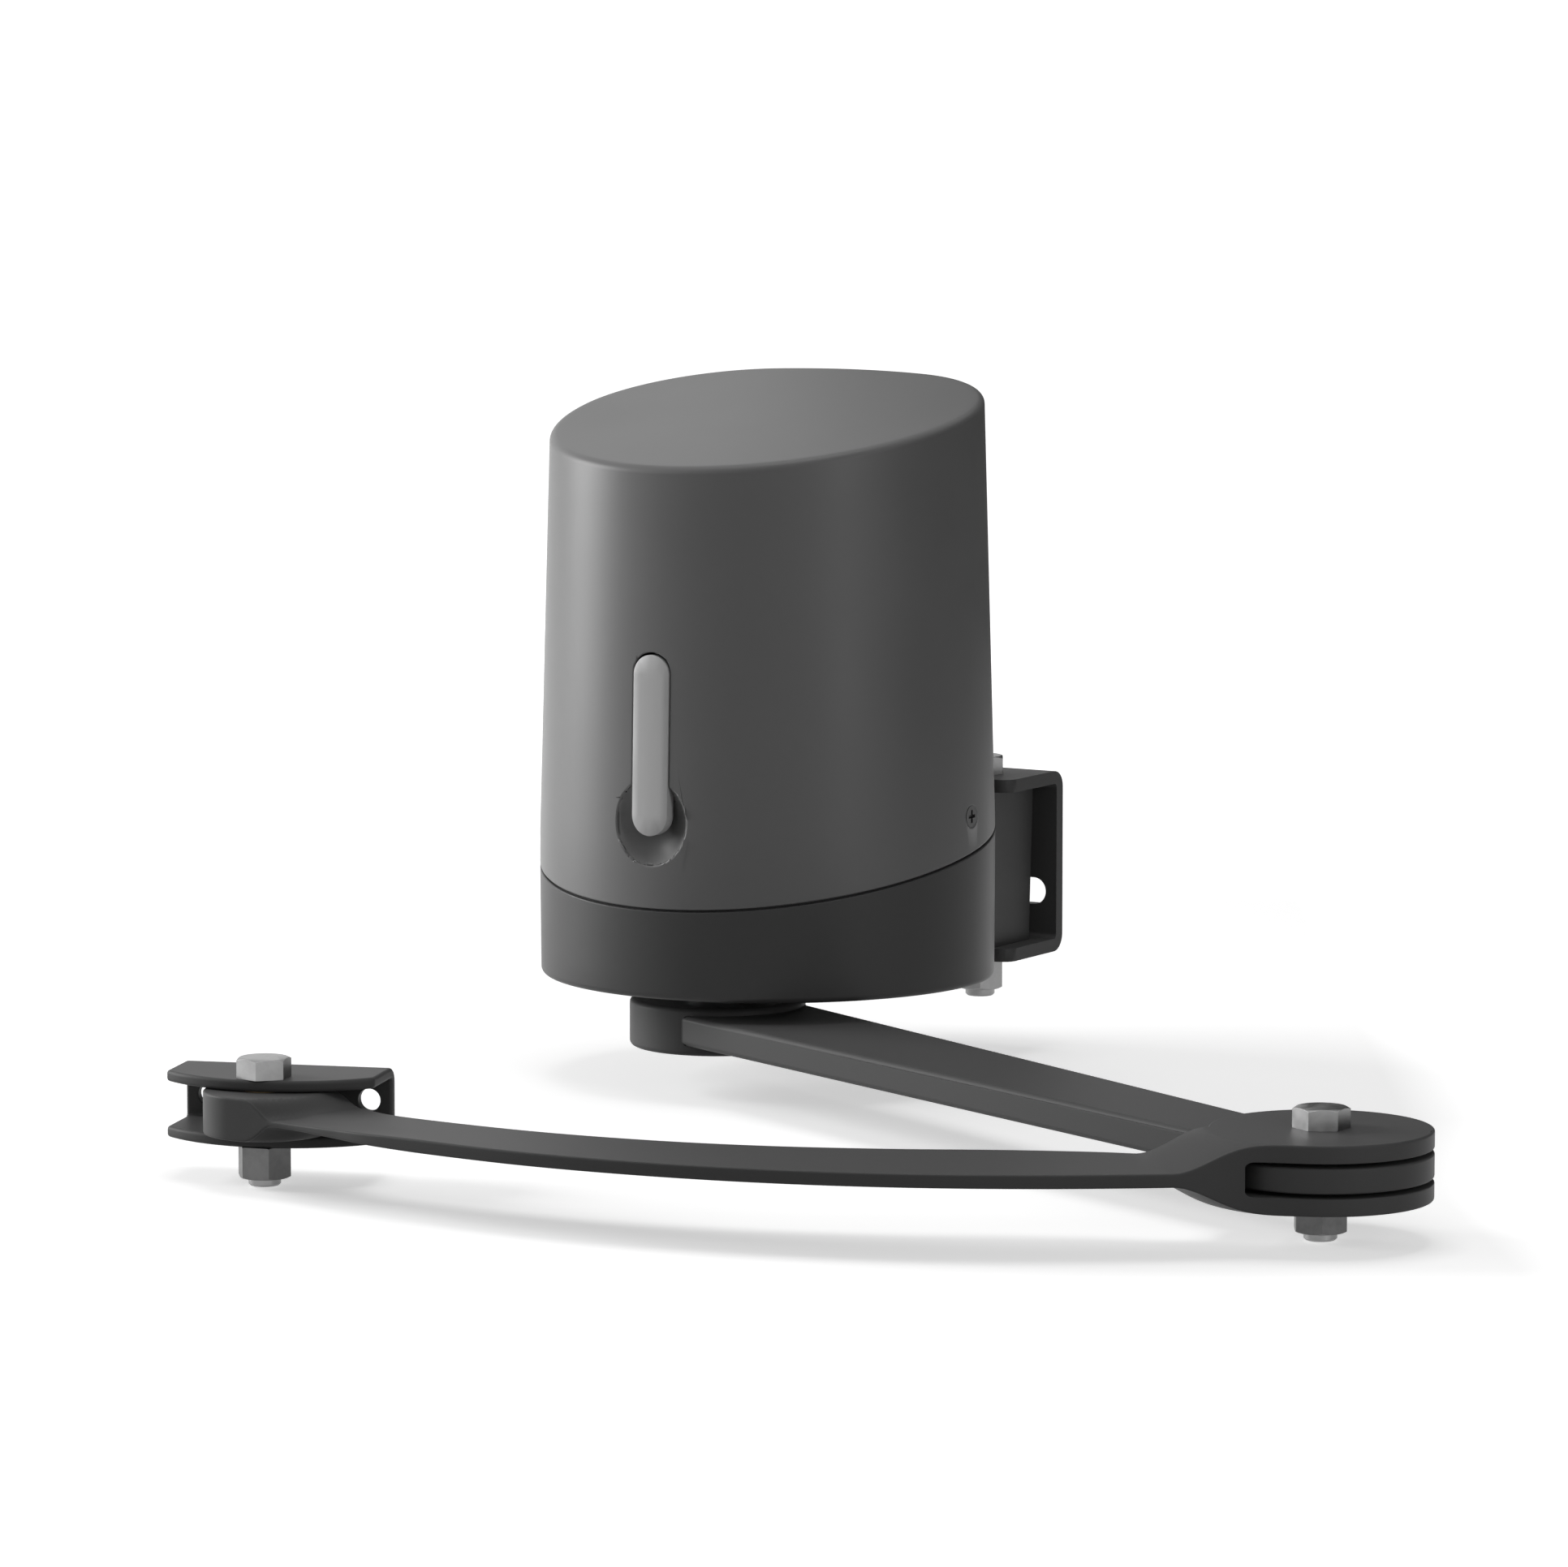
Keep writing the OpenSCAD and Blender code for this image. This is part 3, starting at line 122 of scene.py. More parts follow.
def rod(name, r, z0, z1, steps=64):
    return turned(name, [(r, z0), (r, z1)], steps)


def slab(name, plan, z0, z1):
    return solid(name, [[(x, y, z) for x, y in plan] for z in (z0, z1)])


def ball(name, r, steps=96):
    return turned(name, [(x, y) for x, y in arc(0, 0, r, -88, 88, steps // 2)], steps)


# %% Join, cut and settle
def placed(obj, *moves):
    for move in moves:
        obj.data.transform(move)
    return obj


def settle(obj):
    view = bpy.context.evaluated_depsgraph_get()
    mesh = bpy.data.meshes.new_from_object(obj.evaluated_get(view))
    obj.modifiers.clear()
    obj.data = mesh
    return obj


def combine(obj, tool, how="DIFFERENCE"):
    step = obj.modifiers.new(how.lower(), "BOOLEAN")
    step.operation, step.solver, step.object = how, "EXACT", tool
    settle(obj)
    bpy.data.objects.remove(tool)
    return obj


# %% [markdown]
# ## Soft edges
# No moulded or painted edge is sharp. A bevel of half a millimetre or so catches a thin line
# of light along every edge, and that line is what makes a part look real. The frame's nodes
# get it as two modifiers, so their own meshes stay as they are.


# %% Edge rounding
crease, weld_reach = 32, 0.00002


def round_edges(obj, width, segments=2, angle=crease, clamp=True):
    weld = obj.modifiers.new("weld", "WELD")
    weld.merge_threshold = weld_reach
    bevel = obj.modifiers.new("soft edge", "BEVEL")
    bevel.width, bevel.segments = width, segments
    bevel.limit_method, bevel.angle_limit = "ANGLE", math.radians(angle)
    bevel.harden_normals = True
    bevel.use_clamp_overlap = clamp
    return obj


def even_normals(obj):
    step = obj.modifiers.new("even", "WEIGHTED_NORMAL")
    step.weight, step.keep_sharp = 90, True
    return settle(obj)


def tidy_cuts(obj, reach):
    work = bmesh.new()
    work.from_mesh(obj.data)
    bmesh.ops.remove_doubles(work, verts=work.verts, dist=reach)
    bmesh.ops.dissolve_degenerate(work, edges=work.edges, dist=reach / 4)
    work.to_mesh(obj.data)
    work.free()
    obj.data.shade_smooth()
    obj.data.set_sharp_from_angle(angle=math.radians(crease))
    return obj


# %% [markdown]
# ## True normals
# A boolean leaves odd-shaped faces beside each cut, and their averaged normals make faint dents
# in a gloss. The cure is to ask the uncut form: each corner that lies on it takes the normal that
# the uncut form has there. The edges keep the normals of their bevel.


# %% Guides that give the normal of an uncut form
def skin_guide(obj):
    mesh = obj.data
    mesh.calc_loop_triangles()
    points = [v.co.copy() for v in mesh.vertices]
    normals = [v.normal.copy() for v in mesh.vertices]
    tris = [tuple(t.vertices) for t in mesh.loop_triangles]
    tree = BVHTree.FromPolygons(points, tris)

    def at(p, reach, _):
        spot, _, index, _ = tree.find_nearest(p, reach)
        if spot is None:
            return None
        tri = tris[index]
        share = poly_3d_calc([points[v] for v in tri], spot)
        return sum((normals[v] * s for v, s in zip(tri, share)), Vector()).normalized()
    return at


def hollow_guide(centre, r):
    def at(p, reach, _):
        out = p - centre
        return None if abs(out.length - r) > reach else -out.normalized()
    return at


def level_guide(levels):
    def at(p, reach, normal):
        if any(abs(p.z - z) < reach for z in levels):
            return Vector((0, 0, math.copysign(1, normal.z)))
        return None
    return at


def true_normals(obj, guides, reach=0.00004, spread=24):
    mesh = obj.data
    limit = math.cos(math.radians(spread))
    fixed, normals = 0, []
    corners = [c.vector.copy() for c in mesh.corner_normals]
    for loop, normal in zip(mesh.loops, corners):
        p = mesh.vertices[loop.vertex_index].co
        for guide in guides:
            better = guide(p, reach, normal)
            if better is not None and better.dot(normal) > limit:
                normal = better
                fixed += 1
                break
        normals.append(normal)
    mesh.normals_split_custom_set(normals)
    print(obj.name, "corners", len(normals), "guided", fixed)
    return obj


# %% [markdown]
# ## The housing's skin
# The cover and the skirt share one plan in four arcs: round at the front and flatter at the back.
# The top and the seam lie on planes that slope down to the front, and both sides lean in a
# little so that the parts leave their mould. Each ring is that plan, moved in by the draft and
# laid on a slope.

# %% Plan and rings of the housing
front_r, back_r, side_x, bulge_turn = 93, 70, 23, 80
bulge_r = back_r + side_x / math.cos(math.radians(bulge_turn))
bulge_y = -side_x * math.tan(math.radians(bulge_turn))
body_h, seam_h, seal_t, wall = 226, 53.4, 0.8, 3
slope_tan = math.tan(math.radians(11))
draft_tan, skirt_tan = math.tan(math.radians(1.6)), math.tan(math.radians(0.45))


def plan_run():
    run = []
    arcs = ((0, 0, front_r, 180, 360, 120),
            (side_x, 0, back_r, 0, bulge_turn, 54),
            (0, bulge_y, bulge_r, bulge_turn, 180 - bulge_turn, 24),
            (-side_x, 0, back_r, 180 - bulge_turn, 180, 54))
    for cx, cy, r, a0, a1, count in arcs:
        for k in range(count):
            a = math.radians(a0 + (a1 - a0) * k / count)
            run.append((cx, cy, r, math.cos(a), math.sin(a)))
    return run


outline = plan_run()


def plan_at(s, grow):
    cx, cy, r, ca, sa = s
    return cx + (r + grow) * ca, cy + (r + grow) * sa


def side_grow(z):
    return -draft_tan * (z - seam_h) if z > seam_h else skirt_tan * (z - seam_h)


def slant_ring(h, inset):
    ring = []
    for s in outline:
        _, y = plan_at(s, side_grow(h) - inset)
        x, y = plan_at(s, side_grow(h + slope_tan * y) - inset)
        ring.append((x, y, h + slope_tan * y))
    return ring


def level_ring(z, inset):
    return [(*plan_at(s, side_grow(z) - inset), z) for s in outline]


def quarter(steps):
    return [math.radians(90 * k / steps) for k in range(steps + 1)]


def cover_form(name, inset, low, high, r):
    rings = [slant_ring(low + (high - r - low) * k / 12, inset) for k in range(12)]
    rings += [slant_ring(high - r * (1 - math.sin(t)), inset + r * (1 - math.cos(t))) for t in quarter(8)]
    rings.append(slant_ring(high, inset + r + 2))
    return solid(name, rings)


print("points round the housing", len(outline))

# %% [markdown]
# ## Cover
# On the real object this is one moulding with a thin wall, a dish for the fingers and a slot for
# the lever. Here the outer form is lofted, the same form three millimetres smaller is taken out
# of it, and the bowl behind the dish is added from the inside before the dish is cut. Two short
# posts behind the slot take the screws of the lever's cradle.

# %% The cover's shell
lever_w, gap, lever_low, lever_high = 16, 0.35, 64.5, 135.5
dish_z, dish_r, dish_deep = 70, 17.2, 9
post_r, post_l, post_x, post_y, post_z = 3.6, 15, 17, -78, 110


def front_at(z):
    return front_r + side_grow(z)


ball_r = (dish_r ** 2 + dish_deep ** 2) / (2 * dish_deep)
dish_at = Vector((0, -(front_at(dish_z) - dish_deep + ball_r), dish_z))


def stadium(w, z0, z1, y0, y1):
    plan = arc(0, z1 - w / 2, w / 2, 0, 180, 24) + arc(0, z0 + w / 2, w / 2, 180, 360, 24)
    return placed(slab("tool", plan, -y1, -y0), turn(90, "X"))


cover = cover_form("cover_shell", 0, seam_h + seal_t / 2, body_h, 3)
cover_guide = placed(cover_form("guide", 0, seam_h + seal_t / 2, body_h, 3), body_place, MM)
combine(cover, cover_form("tool", wall, seam_h - 1, body_h - wall, 1))
bowl = placed(ball("bowl", ball_r + wall), Matrix.Translation(dish_at))
for s in (-1, 1):
    post = placed(rod("tool", post_r, 0, post_l), turn(90, "X"), shift(s * post_x, post_y, post_z))
    combine(bowl, post, "UNION")
combine(bowl, cover_form("tool", wall / 2, seam_h + seal_t, body_h - wall, 1), "INTERSECT")
combine(cover, bowl, "UNION")
print("shell faces", len(cover.data.polygons))

# %% Dish, slot and the lever's seat
cut_from, cut_to, seat_deep, slot_w = -95, -80, 4.9, lever_w + 2 * gap
combine(cover, placed(ball("tool", ball_r), Matrix.Translation(dish_at)))
combine(cover, stadium(slot_w, dish_z + dish_r / 2, lever_high + gap, cut_from, cut_to))
seat = stadium(slot_w, lever_low - gap, lever_high, cut_from, cut_to)
low_z, high_z = lever_low - 2, lever_high + 2
core = [(front_at(low_z) - seat_deep, low_z), (front_at(high_z) - seat_deep, high_z)]
combine(seat, turned("tool", core, 192))
combine(cover, seat)
print("cover faces with the lever's seat", len(cover.data.polygons))

# %% Room for the lever's swing, and the screw seats
pin_drop, pin_deep, proud = 16, 7.6, 0.3
screw_z, bore_r, head_r, bore_in, cone_in, cone_out = 68.2, 2.7, 5.3, -15, -2.3, 1.4
pin_z = lever_high - pin_drop
pin_at = Vector((0, -(front_at(pin_z) - pin_deep), pin_z))
room = []
for k in range(25):
    a = math.radians(-90 + 7.5 * k)
    reach = math.hypot(pin_drop - lever_w / 2 * (1 - math.cos(a)), pin_deep + proud) + gap
    room.append((reach, (lever_w / 2 + gap) * math.sin(a)))
combine(cover, placed(turned("tool", room, 96), turn(90, "Y"), Matrix.Translation(pin_at)))
for s in (0, 180):
    well = turned("tool", [(bore_r, bore_in), (bore_r, cone_in), (head_r, cone_out)], 48)
    combine(cover, placed(well, turn(90, "Y"), shift(front_at(screw_z), 0, screw_z), turn(s)))
print("cover faces", len(cover.data.polygons))

# %% Finish the cover's mesh
placed(cover, body_place, MM)
tidy_cuts(cover, 0.00025)
settle(round_edges(cover, 0.0007, 3, clamp=False))
dish_guide = hollow_guide((MM @ body_place) @ dish_at, ball_r * 0.001)
true_normals(cover, [skin_guide(cover_guide), dish_guide])
bpy.data.objects.remove(cover_guide)
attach(cover, "housing")
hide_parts("top_cover")

# %% [markdown]
# ## Skirt
# The skirt is a shallow dark tray that closes the housing from below. It has a small fillet at
# its foot, round holes for the shaft boss, the screws and the cable entry, and an opening at
# the back for the lug that hangs in the wall bracket.

# %% The skirt's shell
foot_r, floor_t, over = 2.4, 4, 1
boss_r, entry_r, entry_x, entry_y = 19.9, 8.1, -45, 35
lug_x, lug_from, lug_to, lug_top = 60.4, 52, 122, 230
hole_r, sink_r, sink_deep = 2.1, 3.75, 2.2


def skirt_form(name):
    rings = [level_ring(foot_r * (1 - math.cos(t)), foot_r * (1 - math.sin(t))) for t in quarter(8)]
    rings.insert(0, level_ring(0, foot_r + 2))
    foot = rings[-1]
    top = slant_ring(seam_h - seal_t / 2, 0)
    for k in range(1, 5):
        rings.append([tuple(Vector(a).lerp(Vector(b), k / 4)) for a, b in zip(foot, top)])
    return solid(name, rings)


skirt = skirt_form("skirt_tray")
skirt_guide = placed(skirt_form("guide"), body_place, MM)
combine(skirt, solid("tool", [level_ring(floor_t, wall), slant_ring(seam_h + over, wall)]))
combine(skirt, placed(rod("tool", boss_r, -over, floor_t + over, 96), shift(0, shaft_y)))
combine(skirt, placed(rod("tool", entry_r, -over, floor_t + over, 64), shift(entry_x, entry_y)))
lug = [(-lug_x, lug_from), (lug_x, lug_from), (lug_x, lug_to), (-lug_x, lug_to)]
combine(skirt, slab("tool", lug, floor_t, lug_top))
for x in (-60, 60):
    for y in (-38, 34):
        combine(skirt, placed(rod("tool", hole_r, -over, floor_t + over), shift(x, y)))
        combine(skirt, placed(rod("tool", sink_r, -over, sink_deep), shift(x, y)))
placed(skirt, body_place, MM)
tidy_cuts(skirt, 0.0002)
settle(round_edges(skirt, 0.0005, 2, clamp=False))
true_normals(skirt, [skin_guide(skirt_guide)])
bpy.data.objects.remove(skirt_guide)
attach(skirt, "housing")
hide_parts("base_skirt")

# %% [markdown]
# ## Drive arm
# A straight bar that tapers from the hub to the elbow, where it thins down to a round tongue.
# The bar's plan is two circles joined by their common tangents. Its long edges have a wider
# fillet than the rest, so the bar is rounded before the hub and the tongue are joined to it.

# %% Lathe profiles with rounded rims
arm_t, disc_r, tongue_t = 12, 40, 9.1
fork_plate, fork_gap = 6.4, 1.6
fork_h, slot_h = 2 * fork_plate + 2 * fork_gap + tongue_t, tongue_t + 2 * fork_gap


def puck(name, r, h, edge, steps=144):
    low = arc(r - edge, -h / 2 + edge, edge, -90, 0, 6)
    high = arc(r - edge, h / 2 - edge, edge, 0, 90, 6)
    inner = [(r - edge - 1, -h / 2)]
    return turned(name, inner + low + high + [(r - edge - 1, h / 2)], steps)


# %% The bar
half_hub, half_elbow = 29.5, 17.9
lean = math.degrees(math.asin((half_hub - half_elbow) / drive_l))
bar_plan = arc(0, 0, half_hub, 90 - lean, 270 + lean, 64)
bar_plan += arc(drive_l, 0, half_elbow, 270 + lean, 450 - lean, 48)
drive = slab("drive_bar", bar_plan, -arm_t / 2, arm_t / 2)
placed(drive, MM)
settle(round_edges(drive, 0.002, 5))
placed(drive, Matrix.Scale(1000, 4))
print("bar faces", len(drive.data.polygons))

# %% Hub, tongue and bores
relief, hub_r, hub_h, hub_z = 2.4, 35, 19, -0.5
shaft_bore, washer_bore, washer_z, bush_bore, through = 12.55, 15, -1.6, 8.05, 20
for s in (-1, 1):
    low, high = sorted((s * tongue_t / 2, s * arm_t))
    combine(drive, placed(rod("tool", disc_r + relief, low, high, 144), shift(drive_l)))
combine(drive, placed(puck("tongue", disc_r, tongue_t, 0.9), shift(drive_l)), "UNION")
combine(drive, placed(puck("hub", hub_r, hub_h, 2), shift(z=hub_z)), "UNION")
combine(drive, rod("tool", shaft_bore, -through, through, 96))
combine(drive, rod("tool", washer_bore, -through, washer_z, 96))
combine(drive, placed(rod("tool", bush_bore, -through, through, 96), shift(drive_l)))
placed(drive, drive_place @ shift(z=-arm_drop), MM)
tidy_cuts(drive, 0.00004)
even_normals(settle(round_edges(drive, 0.0004, 2, clamp=False)))
arm_z = (MM @ drive_place).translation.z - arm_drop / 1000
true_normals(drive, [level_guide([arm_z + s * h / 2000 for s in (-1, 1) for h in (arm_t, tongue_t)])])
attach(drive, "drive_arm_body")
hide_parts("drive_arm")
print("drive arm faces", len(drive.data.polygons))

# %% [markdown]
# ## Curved arm
# This is the sculpted piece: a bowed bar that swells into a fork at the elbow and into an eye
# at the gate. Its two edges in plan are smooth curves through a few points, and its thickness
# at any point depends on how near the fork and the eye are. Both edges run on round the fork and
# the eye, so one loft of narrow sections makes the whole arm without a joint. Each section has
# rounded rims of its own, because a bevel on so fine a mesh would tear it. The fork's slot is
# milled last, with a round cutter, as in the workshop.

# %% Edges and thickness of the curved arm
link_t, eye_r, eye_h, blade_t = 5, 22.5, 16, 2.2
near_shares = [(1.078, .034), (1.0178, .0538), (.957, .074), (.9, .102), (.838, .132), (.698, .18),
               (.569, .203), (.449, .208), (.333, .197), (.222, .172), (.125, .139), (.05, .1085),
               (-.0135, .0999), (-.083, .0905)]
far_shares = [(.99, -.063), (.9664, -.0457), (.9375, -.0255), (.9, 0), (.85, .0305), (.72, .07),
              (.6, .0875), (.49, .0875), (.38, .072), (.285, .05), (.2, .036), (.14, .0325),
              (.0983, .0225), (.06, .008)]
near_flare, more_flare, fork_flare, blade_reach = 7, 8, 26, 80


def spline(p, k, t):
    a, b, c, d = (Vector(q) for q in p[k - 1:k + 3])
    square, cube = 2 * a - 5 * b + 4 * c - d, 3 * b - a - 3 * c + d
    return 0.5 * (2 * b + (c - a) * t + square * t * t + cube * t ** 3)


def ease(x):
    t = min(1, max(0, x))
    return t * t * (3 - 2 * t)


def half_height(p, w):
    to_fork = p.length - disc_r
    to_eye = (p - Vector((link_l, 0))).length - eye_r
    flare = near_flare + more_flare * w * w
    blade = blade_t / 2 + (link_t - blade_t) / 2 * ease(to_eye / blade_reach)
    bar = blade + (link_t / 2 - blade) * ease(w * 2)
    up_fork = (fork_h / 2 - bar) * (1 - ease(to_fork / fork_flare))
    up_eye = (eye_h / 2 - bar) * (1 - ease(to_eye / flare))
    return bar + max(up_fork, up_eye)


def edge_run(edge, eye_from, eye_to, fork_from, fork_to, steps):
    run = [Vector(q) for q in arc(link_l, 0, eye_r, eye_from, eye_to, 30)[:-1]]
    for k in range(1, len(edge) - 2):
        run += [spline(edge, k, j / steps) * link_l for j in range(steps)]
    return run + [Vector(q) for q in arc(0, 0, disc_r, fork_from, fork_to, 48)]


def inward(run, side):
    ways = [run[k + 1] - run[k - 1] for k in range(1, len(run) - 1)]
    between = [Vector((-d.y * side, d.x * side)).normalized() for d in ways]
    return [Vector((-1, 0))] + between + [Vector((1, 0))]


def rim(edge, way, w, soft=0.8):
    h = half_height(edge + way * soft, w)
    r = min(soft, 0.7 * h)
    curve = [(edge + way * r * (1 - math.cos(t)), h - r * (1 - math.sin(t))) for t in quarter(5)]
    return [(edge, h - r - min(0.5, (h - r) / 2))] + curve


def link_form(name, steps=16, across=24):
    rings = []
    near_run = edge_run(near_shares, 0, 71.7, 97.7, 180, steps)
    far_run = edge_run(far_shares, 0, -126.3, 12.9, -180, steps)
    crowd = [k / across - 0.035 * math.sin(2 * math.pi * k / across) for k in range(1, across)]
    shares = [0.012] + crowd + [0.988]
    for near, far, way, back in zip(near_run, far_run, inward(near_run, 1), inward(far_run, -1)):
        left, right = rim(near, way, 0), rim(far, back, 1)
        middle = [(left[-1][0].lerp(right[-1][0], w), w) for w in shares]
        row = left + [(p, half_height(p, w)) for p, w in middle] + right[::-1]
        rings.append([(p.x, p.y, h) for p, h in reversed(row)] + [(p.x, p.y, -h) for p, h in row])
    return tidy_cuts(solid(name, rings), 0.002)


link = link_form("link_bow")
print("points of the curved arm", len(link.data.vertices))

# %% Slot and holes
bolt_hole_r, eye_hole_r, slot_air = 6.25, 8.1, 6
link_guide = placed(link_form("guide"), link_place, MM)
combine(link, rod("tool", bolt_hole_r, -through, through, 64))
combine(link, placed(rod("tool", eye_hole_r, -through, through, 64), shift(link_l)))
combine(link, puck("tool", disc_r + slot_air, slot_h, 2))
placed(link, link_place, MM)
tidy_cuts(link, 0.00003)
settle(round_edges(link, 0.0004, 2, angle=50, clamp=False))
link_z = (MM @ link_place).translation.z
flats = level_guide([link_z + s * h / 2000 for s in (-1, 1) for h in (fork_h, slot_h, eye_h)])
true_normals(link, [flats, skin_guide(link_guide)], spread=14)
bpy.data.objects.remove(link_guide)
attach(link, "curved_arm_body")
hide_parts("curved_arm")
print("curved arm faces", len(link.data.polygons))

# %% [markdown]
# ## Gate bracket
# A bent channel: the plan of its two plates is crossed with the section of the bend. The plates
# have thick soft rims, so the rims are rounded before the holes are drilled.

# %% Plates, web and holes
gate_w, gate_back, gate_front, gate_rise = 80, 36, 9, 17
plate_t, bend_r, corner_r, mount_x, mount_r = 4.2, 5.5, 2.6, 31, 4.25
ahead, beyond = -30, 60
swap = Matrix(((0, 0, 1, 0), (1, 0, 0, 0), (0, 1, 0, 0), (0, 0, 0, 1)))
bow_r = (gate_w ** 2 / 4 + gate_rise ** 2) / (2 * gate_rise)
bow_y = bow_r - gate_front


def bracket_plan():
    inner = gate_w / 2 - corner_r
    cy = bow_y - math.sqrt((bow_r - corner_r) ** 2 - inner ** 2)
    a = math.degrees(math.atan2(cy - bow_y, inner))
    left = arc(-inner, cy, corner_r, 180, 180 - a, 8)
    front = arc(0, bow_y, bow_r, 180 - a, 360 + a, 56)
    right = arc(inner, cy, corner_r, 360 + a, 360, 8)
    return left + front[1:-1] + right + [(gate_w / 2, gate_back + 1), (-gate_w / 2, gate_back + 1)]


def bend_section():
    h, r, inside = fork_h / 2, bend_r, bend_r - plate_t
    y = gate_back - bend_r
    outer = [(ahead, -h)] + arc(y, r - h, r, 270, 360, 10) + arc(y, h - r, r, 0, 90, 10) + [(ahead, h)]
    h -= plate_t
    inner = arc(y, h - inside, inside, 90, 0, 6) + arc(y, inside - h, inside, 0, -90, 6)
    return outer + [(ahead, h)] + inner + [(ahead, -h)]


channel = slab("gate_channel", bracket_plan(), ahead, -ahead)
section = slab("tool", bend_section(), -beyond, beyond)
combine(channel, placed(section, swap), "INTERSECT")
placed(channel, MM)
tidy_cuts(channel, 0.00005)
settle(round_edges(channel, 0.0016, 4))
placed(channel, Matrix.Scale(1000, 4))
combine(channel, rod("tool", bolt_hole_r, ahead, -ahead, 64))
for x in (-mount_x, mount_x):
    combine(channel, placed(rod("tool", mount_r, -50, 50, 64), turn(90, "X"), shift(x)))
placed(channel, gate_place, MM)
tidy_cuts(channel, 0.00002)
even_normals(settle(round_edges(channel, 0.0003, 2, angle=50)))
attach(channel, "gate_bracket_body")
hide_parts("gate_bracket")
print("gate bracket faces", len(channel.data.polygons))

# %% [markdown]
# ## Bolts and nuts
# The pivot bolts are plain hexagon bolts. A real head is a hexagon whose corners are turned off
# by a cone, which leaves curved lines on the flats. Crossing a hexagon with a turned
# profile gives those lines. The tip that shows below the nut is plain, with a small chamfer.


# %% Hexagons with turned corners
hex_w, bolt_r, head_h, nut_h, tip_l = 18, 6, 7.5, 12, 3


def hexagon(name, across, h, chamfer_top, chamfer_low):
    corner = across / math.sqrt(3)
    turns = [math.radians(60 * k) for k in range(6)]
    block = slab(name, [(corner * math.cos(a), corner * math.sin(a)) for a in turns], 0, h)
    profile = [(corner - 1.9 * chamfer_low, 0), (corner + 0.02, chamfer_low),
               (corner + 0.02, h - chamfer_top), (corner - 1.9 * chamfer_top, h)]
    return combine(block, turned("tool", profile, 96), "INTERSECT")


def bolt(name, length):
    block = hexagon(name, hex_w, head_h, 0.75, 0.12)
    shank = turned("shank", [(bolt_r - 0.7, -length), (bolt_r, -length + 0.7), (bolt_r, 1)], 64)
    return combine(block, shank, "UNION")


print("hexagon across corners", hex_w / math.cos(math.radians(30)))

# %% Make the pivot hardware
def dress(obj, place, body, node):
    placed(obj, place, MM)
    tidy_cuts(obj, 0.00003)
    settle(round_edges(obj, 0.0002))
    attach(obj, body)
    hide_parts(node)
    return obj


pivot_l = fork_h + nut_h + tip_l
hardware = []
for node, place, body, way in (("elbow_bolt", link_place, "curved_arm_body", 16),
                               ("gate_bolt", gate_place, "gate_bracket_body", 30)):
    seat = place @ shift(z=fork_h / 2) @ turn(way)
    hardware.append(dress(bolt("pivot_" + node, pivot_l), seat, body, node))
for node, place, body, way in (("elbow_nut", link_place, "curved_arm_body", 14),
                               ("gate_nut", gate_place, "gate_bracket_body", 5)):
    nut = hexagon("pivot_" + node, hex_w, nut_h, 0.75, 0.2)
    combine(nut, rod("tool", bolt_r + 0.05, -1, nut_h + 1, 48))
    seat = place @ shift(z=-fork_h / 2) @ turn(180, "X") @ turn(way)
    hardware.append(dress(nut, seat, body, node))
print("hardware pieces", [o.name for o in hardware])

# %% [markdown]
# ## Finishes
# Each finish is a Principled shader with its own colour, and a small node group adds what the
# process leaves on the surface: the fine grain of a mould, the orange peel of powder paint, the
# faint drift of a zinc bath, or turning marks. A group is built once and used by several
# finishes with other values.


# %% Shader groups
def group(name, inputs, outputs):
    tree = bpy.data.node_groups.new(name, "ShaderNodeTree")
    for label, value in inputs:
        socket = tree.interface.new_socket(label, in_out="INPUT", socket_type="NodeSocketFloat")
        socket.default_value = value
    for label in outputs:
        tree.interface.new_socket(label, in_out="OUTPUT", socket_type="NodeSocketFloat")
    return tree, tree.nodes.new("NodeGroupInput"), tree.nodes.new("NodeGroupOutput")


def noise(tree, vector, scale, detail=2.0, rough=0.5):
    node = tree.nodes.new("ShaderNodeTexNoise")
    node.inputs["Detail"].default_value = detail
    node.inputs["Roughness"].default_value = rough
    tree.links.new(vector, node.inputs["Vector"])
    if isinstance(scale, (int, float)):
        node.inputs["Scale"].default_value = scale
    else:
        tree.links.new(scale, node.inputs["Scale"])
    return node.outputs["Fac"]


def level(tree, value, low, high, to_low=0.0, to_high=1.0):
    node = tree.nodes.new("ShaderNodeMapRange")
    for label, number in (("From Min", low), ("From Max", high), ("To Min", to_low), ("To Max", to_high)):
        node.inputs[label].default_value = number
    tree.links.new(value, node.inputs["Value"])
    return node.outputs["Result"]


def maths(tree, how, a, b):
    node = tree.nodes.new("ShaderNodeMath")
    node.operation = how
    for socket, value in zip(node.inputs, (a, b)):
        if isinstance(value, (int, float)):
            socket.default_value = value
        else:
            tree.links.new(value, socket)
    return node.outputs[0]


# %% Grain, orange peel and streaks
def make_grain():
    tree, into, out = group("moulded grain", [("Scale", 2600)], ["Height", "Tone"])
    place = tree.nodes.new("ShaderNodeTexCoord").outputs["Object"]
    fine = noise(tree, place, into.outputs["Scale"], 2, 0.6)
    broad = noise(tree, place, 14, 2, 0.5)
    tree.links.new(fine, out.inputs["Height"])
    tree.links.new(level(tree, broad, 0.3, 0.7), out.inputs["Tone"])
    return tree


